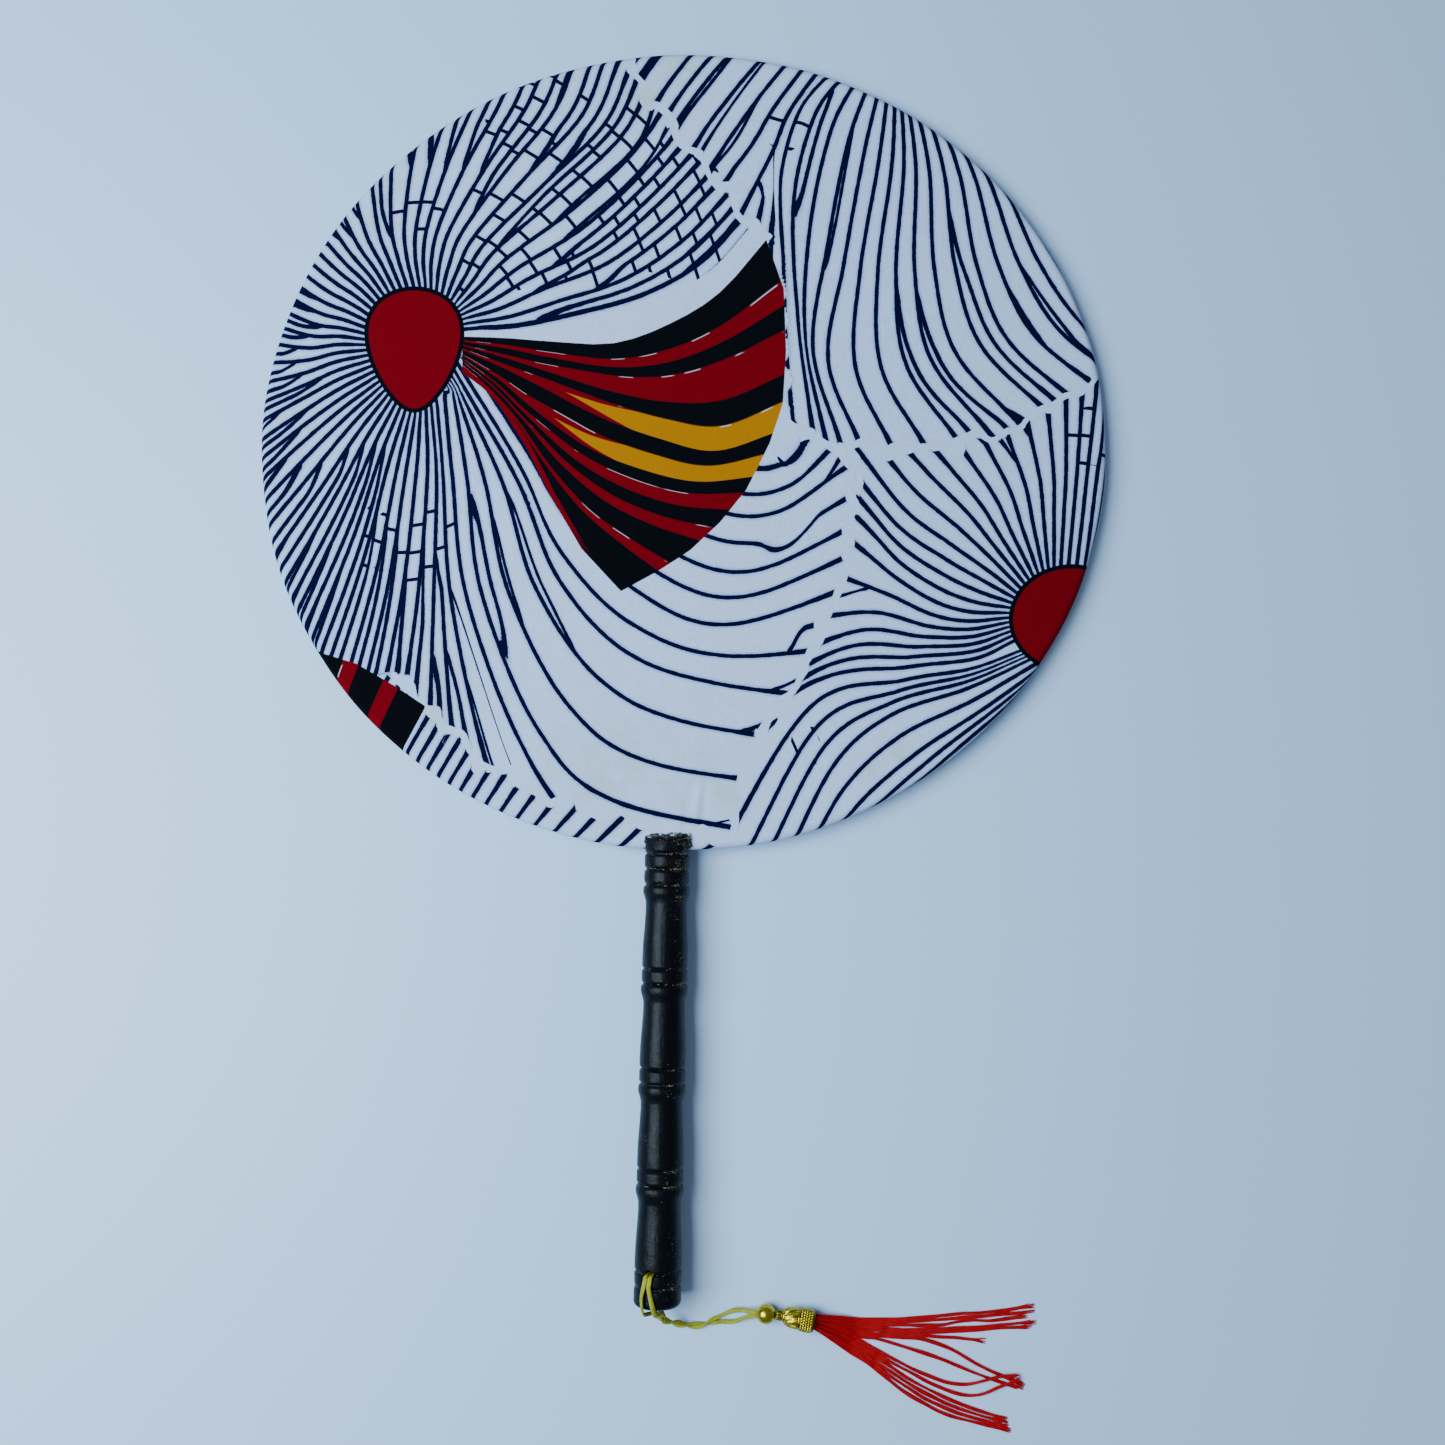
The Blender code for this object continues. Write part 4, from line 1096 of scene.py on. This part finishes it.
def sweep(path, half_width, half_height, sides, across, turn=0.0):
    """A closed tube of oval section along a path.

    Gives its points, its faces, and each point's place on the section and along the path, for its fibres.
    """
    path = np.asarray(path, float)
    ahead = directions(path)
    sideways = np.empty_like(path)
    carried = np.asarray(across, float)
    for index, direction in enumerate(ahead):
        carried = carried - direction * (carried @ direction)
        carried = carried / np.linalg.norm(carried)
        sideways[index] = carried
    upwards = np.cross(sideways, ahead)
    angles = round_angles(sides)
    x = np.outer(np.broadcast_to(half_width, len(path)), np.cos(angles))
    y = np.outer(np.broadcast_to(half_height, len(path)), np.sin(angles))
    turns = np.broadcast_to(turn, len(path))[:, None]
    along = distances_along(path)
    out_x, out_y = x * np.cos(turns) - y * np.sin(turns), x * np.sin(turns) + y * np.cos(turns)
    points = path[:, None] + out_x[..., None] * sideways[:, None] + out_y[..., None] * upwards[:, None]
    fibres = np.stack([x, y, np.repeat(along[:, None], sides, axis=1)], axis=-1)
    return points.reshape(-1, 3), tube_faces(len(path), sides), fibres.reshape(-1, 3)


def joined(name, tubes):
    """One mesh of several tubes, whose points are in metres. Each tube's fibres are shifted along it."""
    points, faces, fibres = [], [], []
    offset = 0
    for number, (more, these, those) in enumerate(tubes):
        points.append(more)
        faces += [tuple(index + offset for index in face) for face in these]
        fibres.append(those + [0, 0, FIBRE_SHIFT * number])
        offset += len(more)
    obj = mesh_object(name, np.concatenate(points), faces, 60)
    store(obj, "fibres", np.concatenate(fibres))
    return obj


def waxed_cord():
    """Yellow-green waxed thread: fine twisted fibres, a soft shine and uneven dye."""
    cord = Finish("waxed_cord", (0.3, 0.3, 0.03), 0.5, specular_ior_level=0.2)
    x, y, along = cord.stored("fibres")
    fibres = cord.noise(cord.vector(x * 5.0, y * 5.0, along * 0.5), 1.0, 4.0)
    dye = cord.noise(cord.vector(x, y, along), 0.6, 3.0)
    tone = cord.mix(dye.smooth(0.3, 0.7), (0.17, 0.155, 0.004), (0.31, 0.29, 0.010))
    cord.set("Base Color", cord.mix(fibres.smooth(0.35, 0.7), tone, (0.44, 0.41, 0.022)))
    cord.set("Roughness", fibres * 0.3 + 0.35)
    cord.relief(fibres, 0.00022)
    return cord


def build_hitch(finish):
    """Two strands through the hole, which run over the butt's end in front and behind."""
    axis, across = hole_directions()
    for side, name in ((-1, "hitch_strand_left"), (1, "hitch_strand_right")):
        inside = [axis * depth + across * side * STRAND_SPACING + [0, y, 0] for depth, y in STRAND_IN_HOLE]
        route = smooth_route([*STRAND_BEHIND[name], *inside, *STRAND_IN_FRONT[name]], 0.4)
        place = np.linspace(0, 1, len(route))
        front = smooth_step(place, 0.45, 0.62)
        width = 0.52 + 0.16 * front + 0.03 * np.sin(place * 40 + side)
        twist = side * 0.5 * np.sin(place * 9) + 0.35 * side * front
        points, faces, fibres = sweep(route, width, STRAND_HALF_THICKNESS, 14, (1, 0, 0), twist)
        strand = joined(name.replace("hitch", "waxed"), [(to_world(points), faces, fibres)])
        stand_in(strand, finish, "fan", name)


def build_knot(finish):
    """The crossing of the strands round the doubled cord: three turns of a strand drawn tight."""
    loops = []
    for number in range(3):
        turns = np.linspace(0, math.tau * 0.96, 40)
        lift = (number - 1) * 0.62
        height = lift + 0.28 * np.cos(turns * 0.5)
        ring = np.column_stack([1.02 * np.cos(turns), 1.02 * np.sin(turns), height])
        tilt = Matrix.Rotation(0.9 + 0.35 * (number - 1), 3, "X")
        tilt = tilt @ Matrix.Rotation(0.6 - 0.5 * number, 3, "Y")
        route = ring @ np.array(tilt).T + KNOT_CENTRE
        points, faces, fibres = sweep(
            route, 0.55, STRAND_HALF_THICKNESS, 12, (0, 0, 1), 0.3 * np.sin(turns)
        )
        loops.append((to_world(points), faces, fibres))
    knot = joined("cord_knot", loops)
    stand_in(knot, finish, "knot", "hitch_knot")


def build_tassel_cord(finish):
    """The doubled cord: its strands twist round each other, part in a long eye and meet again in the ball."""
    route = smooth_route(CORD_ROUTE, 0.35)
    x = route[:, 0]
    place = route.copy()
    place[:, 2] -= 0.4 * smooth_step(x, 3, 8) + 0.35 * smooth_step(x, 13, 18)
    place[:, 2] += 0.75 * smooth_step(x, 21, 26.5)
    place[:, 1] -= 0.25 * bump(x, 20, 5)
    along = distances_along(route)
    untwisted = np.interp(14.5, x, along)
    turn = math.tau * 1.5 * (np.clip(along / untwisted, 0, 1) - 1)
    opening = 0.52 + 1.05 * bump(x, 20.3, 3.6) - 0.1 * smooth_step(x, 24, 28)
    ahead = directions(place)
    sideways = np.cross(ahead, (0, 0, 1))
    sideways /= np.linalg.norm(sideways, axis=1)[:, None]
    upwards = np.cross(sideways, ahead)
    strands = []
    for side in (-1, 1):
        swing = side * (opening * np.cos(turn))[:, None] * sideways
        strand = place + swing + side * (0.45 * np.sin(turn))[:, None] * upwards
        width = 0.62 + 0.06 * np.sin(along * 0.9 + side)
        lay_turn = turn + 0.25 * np.sin(along * 0.5 + 2 * side)
        thickness = STRAND_HALF_THICKNESS * MM
        points, faces, fibres = sweep(strand * MM, width * MM, thickness, 14, (0, -1, 0), lay_turn)
        strands.append((points, faces, fibres / MM))
    cord = joined("tassel_cord_strands", strands)
    stand_in(cord, finish, "tassel", "tassel_cord")


# ----------------------------------------------------------------------------------------------------
# The beads
# ----------------------------------------------------------------------------------------------------

BEAD_RADIUS, BORE_RADIUS = 2.9, 1.25
BEAD_CENTRE = (29.7, -192.5, 2.95)
CAP_START = (32.9, -192.6, 2.95)
CAP_HEADING, CAP_RISE = math.radians(-8.5), math.radians(4.1)
CAP_LENGTH, CAP_CAVITY, MOUTH_RADIUS = 11.2, 5.0, 2.5

# The cap's outside from its neck to its mouth, as (radius, distance).
CAP_OUTSIDE = [(1.45, 0), (1.55, 0.4), (1.5, 1.5), (2.0, 2.2), (2.55, 3.4), (2.9, 4.9), (2.95, 6.0)]
CAP_OUTSIDE += [(3.15, 7.2), (3.3, 8.6), (3.25, 9.9), (3.1, 10.6), (3.12, 11.0), (2.9, 11.2)]
FLUTES, LEAVES, BEADS_IN_ROW, LAST_ROW, ROW_PITCH = 10, 8, 24, 4, 0.74


def cap_matrix():
    """The bead cap's frame: its Z runs from the neck to the mouth, its Y is level."""
    turn = Matrix.Rotation(CAP_HEADING, 4, "Z") @ Matrix.Rotation(math.pi / 2 - CAP_RISE, 4, "Y")
    return Matrix.Translation(Vector(CAP_START)) @ turn


def placed(points, matrix):
    """Points moved by a matrix."""
    return np.asarray(points) @ np.array(matrix.to_3x3()).T + np.array(matrix.translation)


def spun(outline, columns, matrix, relief=None):
    """A closed outline of (radius, distance) spun round Z, and then placed, in metres."""
    outline = np.asarray(outline, float)
    angles = round_angles(columns)
    radius = np.repeat(outline[:, :1], columns, axis=1)
    along = np.repeat(outline[:, 1:], columns, axis=1)
    if relief:
        radius = radius + relief(angles[None], along, radius)
    points = np.stack([radius * np.cos(angles), radius * np.sin(angles), along], axis=-1)
    rows = len(outline)
    faces = grid_faces(rows + 1, columns, closed=True) % (rows * columns)
    return placed(points.reshape(-1, 3), matrix) * MM, faces.tolist()


def gilt(name, tarnish):
    """Bright gilt metal, a little scratched, darker and browner in its hollows."""
    metal = Finish(name, (0.6, 0.4, 0.04), 0.2, metallic=1.0)
    x, y, z = metal.place()
    cloud = metal.noise(metal.vector(x * 1000.0, y * 1000.0, z * 1000.0), 0.55, 3.0)
    scratch = metal.noise(metal.vector(x * 1400.0, y * 5200.0, z * 5200.0), 1.0, 2.0)
    hollow = metal.number("hollow")
    bright = metal.mix(cloud.smooth(0.35, 0.7), (0.62, 0.41, 0.02), (0.80, 0.58, 0.05))
    metal.set("Base Color", metal.mix(hollow * tarnish, bright, (0.05, 0.026, 0.002)))
    metal.set("Roughness", cloud * 0.12 + scratch * 0.1 + hollow * 0.15 + 0.07)
    metal.relief(scratch * 0.4 + cloud * 0.6, 0.00006, 0.6)
    return metal


def ball_relief(angles, along, radius):
    """Two small dents in the ball."""
    spots = radius * 0
    for place, turn, size, depth in ((-1.3, 2.2, 0.45, 0.16), (0.9, 4.0, 0.5, 0.08)):
        gap = np.hypot(along - place, radius * np.sin((angles - turn) / 2) * 2)
        spots = spots - depth * bump(gap, 0, size)
    return spots * (radius > BORE_RADIUS + 0.2)


def cap_relief(angles, along, radius):
    """The cap's ornament: a fluted neck, two rings, curled leaves between them and rows of tiny beads."""
    inside = np.where(along > CAP_CAVITY - 0.05, MOUTH_RADIUS, BORE_RADIUS)
    outside = radius > inside + 0.14
    neck = 0.09 * np.cos(angles * FLUTES) * smooth_step(along, 1.6, 1.2)
    ring = 0.16 * bump(along, 1.95, 0.2) + 0.12 * bump(along, 6.55, 0.17)
    curl = angles * LEAVES + 1.7 * along
    leaf_zone = smooth_step(along, 2.1, 2.6) * smooth_step(along, 6.4, 6.0)
    leaves = (0.24 * np.abs(np.sin(curl / 2)) ** 0.6 + 0.07 * np.cos(curl * 2.5 - along * 2)) * leaf_zone
    bead_rows = (along - 7.0) / ROW_PITCH
    row = np.floor(bead_rows)
    shift = angles * BEADS_IN_ROW / math.tau + 0.5 * (row % 2)
    gap = np.hypot(bead_rows - row - 0.5, shift - np.floor(shift) - 0.5)
    beads = 0.3 * np.sqrt(np.clip(1 - (gap / 0.47) ** 2, 0, 1)) * (row >= 0) * (row <= LAST_ROW)
    return (neck + ring + leaves + beads - 0.1) * outside


def build_bead(name, outline, columns, matrix, relief, tarnish, body, node):
    """A spun bead with its ornament, in gilt metal. Its hollows are darker where the relief is low."""
    points, faces = spun(outline, columns, matrix, relief)
    obj = mesh_object(name, points, faces, 70)
    radius, along = np.repeat(np.asarray(outline), columns, axis=0).T
    angles = np.tile(round_angles(columns), len(outline))
    raised = relief(angles, along, radius)
    store(obj, "hollow", np.clip(1 - (raised + 0.1) / 0.2, 0, 1))
    stand_in(obj, gilt(name, tarnish), body, node)


def build_beads():
    """The ball, which turns on the cord, and the cap that covers the tassel's head."""
    reach = math.acos(BORE_RADIUS / BEAD_RADIUS)
    turns = np.linspace(reach, -reach, 57)
    outline = [(BEAD_RADIUS * math.cos(a), BEAD_RADIUS * math.sin(a)) for a in turns]
    outline += [(BORE_RADIUS, -1.5), (BORE_RADIUS, 0), (BORE_RADIUS, 1.5)]
    matrix = Matrix.Translation(Vector(BEAD_CENTRE)) @ Matrix.Rotation(math.pi / 2, 4, "Y")
    build_bead("gilt_ball", outline, 80, matrix, ball_relief, 0.4, "bead", "ball_bead")

    along = np.linspace(0, CAP_LENGTH, 130)
    radius = np.interp(along, [d for _, d in CAP_OUTSIDE], [r for r, _ in CAP_OUTSIDE])
    kernel = bump(np.arange(-6, 7), 0, 2.5)
    padded = np.pad(radius, 6, mode="edge")
    radius = np.convolve(padded, kernel / kernel.sum(), "valid")
    outline = [*zip(radius, along), (MOUTH_RADIUS, CAP_LENGTH), (MOUTH_RADIUS, CAP_CAVITY)]
    outline += [(BORE_RADIUS, CAP_CAVITY - 0.8), (BORE_RADIUS, 0)]
    build_bead("gilt_cap", outline, 216, cap_matrix(), cap_relief, 0.85, "tassel", "bead_cap")


# ----------------------------------------------------------------------------------------------------
# The tassel's yarns
# ----------------------------------------------------------------------------------------------------

HEAD_END = 9.0
YARN_LIE = 0.35
YARN_ROW, YARN_HALF_SPAN = 0.8, 1.75
PLIES = 7
PLY_RADIUS, LOWEST_PLY = 0.19, 0.2

# Each yarn's own points from the tassel's spread to its cut end. A point of two numbers lies on the table,
# and the third number lifts a yarn that crosses others.
YARN_ROUTES = [
    [(59.0, -194.2), (73.0, -193.8), (88.0, -192.1), (98.5, -191.2), (109.5, -189.3)],
    [(59.0, -194.9), (73.0, -194.7), (83.0, -193.8), (91.0, -193.0), (98.5, -192.3), (109.5, -191.0)],
    [(59.0, -195.7), (73.0, -195.8), (81.5, -195.6), (87.0, -194.5), (92.0, -194.0), (97.5, -193.9)]
    + [(107.6, -192.3)],
    [(59.0, -196.4), (70.0, -197.0), (80.5, -196.8), (91.0, -196.1), (101.0, -195.0), (110.0, -194.0)],
    [(59.0, -197.2), (70.0, -197.8), (80.5, -197.6), (91.0, -197.0), (101.0, -196.0), (108.7, -195.4)],
    [(58.6, -198.0), (70.0, -198.7), (81.0, -198.9), (88.0, -199.3), (95.0, -200.0)],
    [(58.5, -198.7), (70.0, -199.5), (76.5, -199.9), (84.7, -202.4), (93.4, -207.2), (98.6, -209.4)]
    + [(106.8, -212.6)],
    [(58.5, -199.5), (64.0, -200.2), (73.0, -202.7), (80.6, -205.0), (88.3, -207.9), (96.0, -210.7)]
    + [(106.3, -213.7)],
    [(57.6, -200.5), (66.0, -204.8), (73.0, -208.2), (80.7, -211.3), (85.0, -212.4), (89.9, -212.7)]
    + [(94.5, -211.3, 1.05), (99.1, -209.9, 1.2), (105.2, -209.5, 1.1)],
    [(57.5, -201.4), (66.0, -206.1), (73.0, -209.6), (79.7, -212.8), (86.0, -215.2), (91.0, -215.9)]
    + [(95.0, -215.0, 0.9), (99.1, -212.9, 1.2), (103.7, -211.1, 1.2), (105.4, -210.5, 1.1)],
    [(57.1, -202.1), (66.0, -207.3), (73.0, -211.7), (80.7, -215.5), (88.4, -218.6), (95.0, -220.7)]
    + [(101.7, -222.4)],
    [(56.6, -202.8), (65.3, -208.3), (72.5, -212.8), (79.7, -216.6), (87.4, -219.7), (94.6, -221.8)]
    + [(101.9, -223.4)],
    [(56.1, -203.4), (64.7, -209.2), (71.8, -213.8), (78.8, -217.7), (86.4, -220.8), (94.1, -222.9)]
    + [(102.0, -224.4)],
    [(54.6, -203.8), (60.0, -207.0), (65.0, -210.6), (70.5, -214.7), (76.2, -218.0), (85.0, -221.9)]
    + [(102.8, -225.7)],
]


def yarn_finish():
    """Soft crimson yarn: fine fibres along it, the lightest a painted highlight, and a little variation from
    ply to ply.
    """
    yarn = Finish("red_yarn", (0.36, 0.01, 0.01), 0.62, specular_ior_level=0.12)
    x, y, along = yarn.stored("fibres")
    fibres = yarn.noise(yarn.vector(x * 9.0, y * 9.0, along * 0.45), 1.0, 4.0)
    dye = yarn.noise(yarn.vector(x, y, along * 0.4), 1.0, 2.0)
    tone = yarn.mix(dye.smooth(0.3, 0.7), (0.24, 0.0, 0.002), (0.40, 0.001, 0.004))
    # The lightest tone, on the brightest fibres, is a painted highlight that stands in for the yarn's sheen;
    # the rest is the fibres' own tone.
    yarn.set("Base Color", yarn.mix(fibres.smooth(0.4, 0.75), tone, (0.56, 0.006, 0.008)))
    yarn.relief(fibres, 0.00012)
    return yarn


def build_yarns():
    """Each yarn is a flat bundle of fine plies that part a little near its cut end."""
    finish = yarn_finish()
    matrix = cap_matrix()
    rng = np.random.default_rng(7)
    for number, spread in enumerate(YARN_ROUTES):
        row = (number % 3 - 1) * YARN_ROW
        column = YARN_HALF_SPAN * (1 - 2 * number / (len(YARN_ROUTES) - 1))
        ends = [(-row, column, along + FIT_GAP) for along in (HEAD_END, CAP_LENGTH)]
        start, mouth = placed(ends, matrix)
        lying = [(p[0], p[1], p[2] if len(p) > 2 else YARN_LIE) for p in spread]
        route = smooth_route([start, mouth, (mouth + lying[0]) / 2, *lying], 0.8)
        share = np.linspace(0, 1, len(route))
        sideways = np.cross(directions(route), (0, 0, 1))
        fan_out = 0.22 + 0.14 * smooth_step(share, 0.05, 0.3) + 0.3 * smooth_step(share, 0.93, 1.0)
        plies = []
        for ply in range(PLIES):
            lane = (ply - (PLIES - 1) / 2) / ((PLIES - 1) / 2)
            sway = rng.uniform(0, math.tau, 3)
            wander = 0.25 * np.sin(share * 14 + sway[0]) + 0.15 * np.sin(share * 37 + sway[1])
            aside = (lane * 0.9 + wander) * fan_out
            above = 0.07 * np.sin(share * 21 + sway[2]) + 0.05 * (ply % 2)
            cut = len(route) - (0 if ply % 3 == 1 else rng.integers(0, 3))
            path = route + aside[:, None] * sideways
            path[:, 2] = np.maximum(path[:, 2] + above - 0.02, LOWEST_PLY)
            radius = np.full(cut, PLY_RADIUS)
            radius[-3:] *= (0.9, 0.75, 0.5)
            points, faces, fibres = sweep(path[:cut] * MM, radius * MM, radius * 0.9 * MM, 6, (0, -1, 0))
            plies.append((points, faces, fibres / MM))
        yarn = joined(f"yarn_{number + 1:02d}", plies)
        stand_in(yarn, finish, "tassel", f"thread_{number + 1:02d}")


# ----------------------------------------------------------------------------------------------------
# The pieces inside
# ----------------------------------------------------------------------------------------------------


def card():
    """Grey-brown board with flecks of fibre."""
    board = Finish("grey_board", (0.4, 0.33, 0.25), 0.9)
    x, y, z = board.place()
    fibres = board.noise(board.vector(x * 900.0, y * 350.0, z * 900.0), 1.0, 4.0)
    flecks = board.noise(board.vector(x, y, z), 1600.0, 2.0)
    base = board.mix(fibres.smooth(0.3, 0.7), (0.36, 0.29, 0.21), (0.46, 0.39, 0.30))
    board.set("Base Color", board.mix((flecks - 0.66).edge(0.03) * 0.6, base, (0.14, 0.11, 0.08)))
    board.relief(fibres, 0.00008)
    return board


def bamboo():
    """Split bamboo with its straight fibres."""
    wood = Finish("split_bamboo", (0.55, 0.4, 0.22), 0.6)
    x, y, z = wood.place()
    grain = wood.noise(wood.vector(x * 2600.0, y * 60.0, z * 2600.0), 1.0, 4.0)
    wood.set("Base Color", wood.mix(grain.smooth(0.35, 0.7), (0.60, 0.45, 0.25), (0.36, 0.24, 0.11)))
    wood.set("Roughness", grain * 0.2 + 0.5)
    wood.relief(grain, 0.00006)
    return wood


def bound_yarn():
    """The yarns' fold, bound tight inside the cap."""
    yarn = Finish("bound_yarn", (0.36, 0.01, 0.01), 0.7)
    x, y, z = yarn.place()
    strands = yarn.noise(yarn.vector(x * 900.0, y * 4000.0, z * 4000.0), 1.0, 3.0)
    yarn.set("Base Color", yarn.mix(strands, (0.22, 0.004, 0.006), (0.5, 0.015, 0.015)))
    yarn.relief(strands, 0.0002)
    return yarn


def finish_hidden_pieces():
    """Paints the CAD nodes that nothing replaces, since the cloth, the handle and the cap hide them."""
    board = card()
    for node in ("front_board", "back_board"):
        paint(bpy.data.objects[node], board)
    paint(bpy.data.objects["tongue"], bamboo())
    paint(bpy.data.objects["tassel_head"], bound_yarn())


# ----------------------------------------------------------------------------------------------------
# The camera, the light and the floor
# ----------------------------------------------------------------------------------------------------


SENSOR, LENS = 36.0, 37.37
CAMERA_PLACE = (13.4, -43.1, 455)
CAMERA_TILT, CAMERA_ROLL = math.radians(3.2), math.radians(1.136)
SKY_COLOUR, SKY_STRENGTH = (0.64, 0.80, 1.0), 0.29
LAMP_SIDE, LAMP_POWER, LAMP_COLOUR = 0.6, 16.0, (0.62, 0.83, 1.0)
LAMP_PLACE, LAMP_AIM = (-0.50, -0.06, 0.68), (-0.12, -0.03, 0)
FLOOR_HALF_SIDE = 3.0


def build_stage():
    """A camera above the fan, a plain pale floor and soft light from the left."""
    scene = bpy.context.scene
    camera = bpy.data.objects.new("camera", bpy.data.cameras.new("camera"))
    camera.data.sensor_width = SENSOR
    camera.data.lens = LENS
    aim = Matrix.Rotation(CAMERA_TILT, 4, "X") @ Matrix.Rotation(CAMERA_ROLL, 4, "Z")
    camera.matrix_world = Matrix.Translation(Vector(CAMERA_PLACE) * MM) @ aim
    scene.collection.objects.link(camera)
    scene.camera = camera

    world = bpy.data.worlds.new("world")
    world.use_nodes = True
    background = world.node_tree.nodes["Background"]
    background.inputs["Color"].default_value = (*SKY_COLOUR, 1)
    background.inputs["Strength"].default_value = SKY_STRENGTH
    scene.world = world

    key = bpy.data.lights.new("key", "AREA")
    key.shape, key.size, key.size_y = "RECTANGLE", LAMP_SIDE, LAMP_SIDE
    key.energy, key.color = LAMP_POWER, LAMP_COLOUR
    lamp = bpy.data.objects.new("key", key)
    lamp.location = LAMP_PLACE
    lamp.rotation_euler = (Vector(LAMP_AIM) - lamp.location).to_track_quat("-Z", "Y").to_euler()
    scene.collection.objects.link(lamp)

    bm = bmesh.new()
    bmesh.ops.create_grid(bm, x_segments=1, y_segments=1, size=FLOOR_HALF_SIDE)
    mesh = bpy.data.meshes.new("floor")
    bm.to_mesh(mesh)
    bm.free()
    floor = bpy.data.objects.new("floor", mesh)
    scene.collection.objects.link(floor)
    top = Finish("floor", (0.50, 0.65, 0.85), 0.5)
    paint(floor, top)


cord_finish = waxed_cord()
build_stage()
build_knot(cord_finish)
build_hitch(cord_finish)
build_beads()
build_tassel_cord(cord_finish)
build_yarns()
build_front_cover()
build_back_cover()
build_handle()
build_glue()
finish_hidden_pieces()
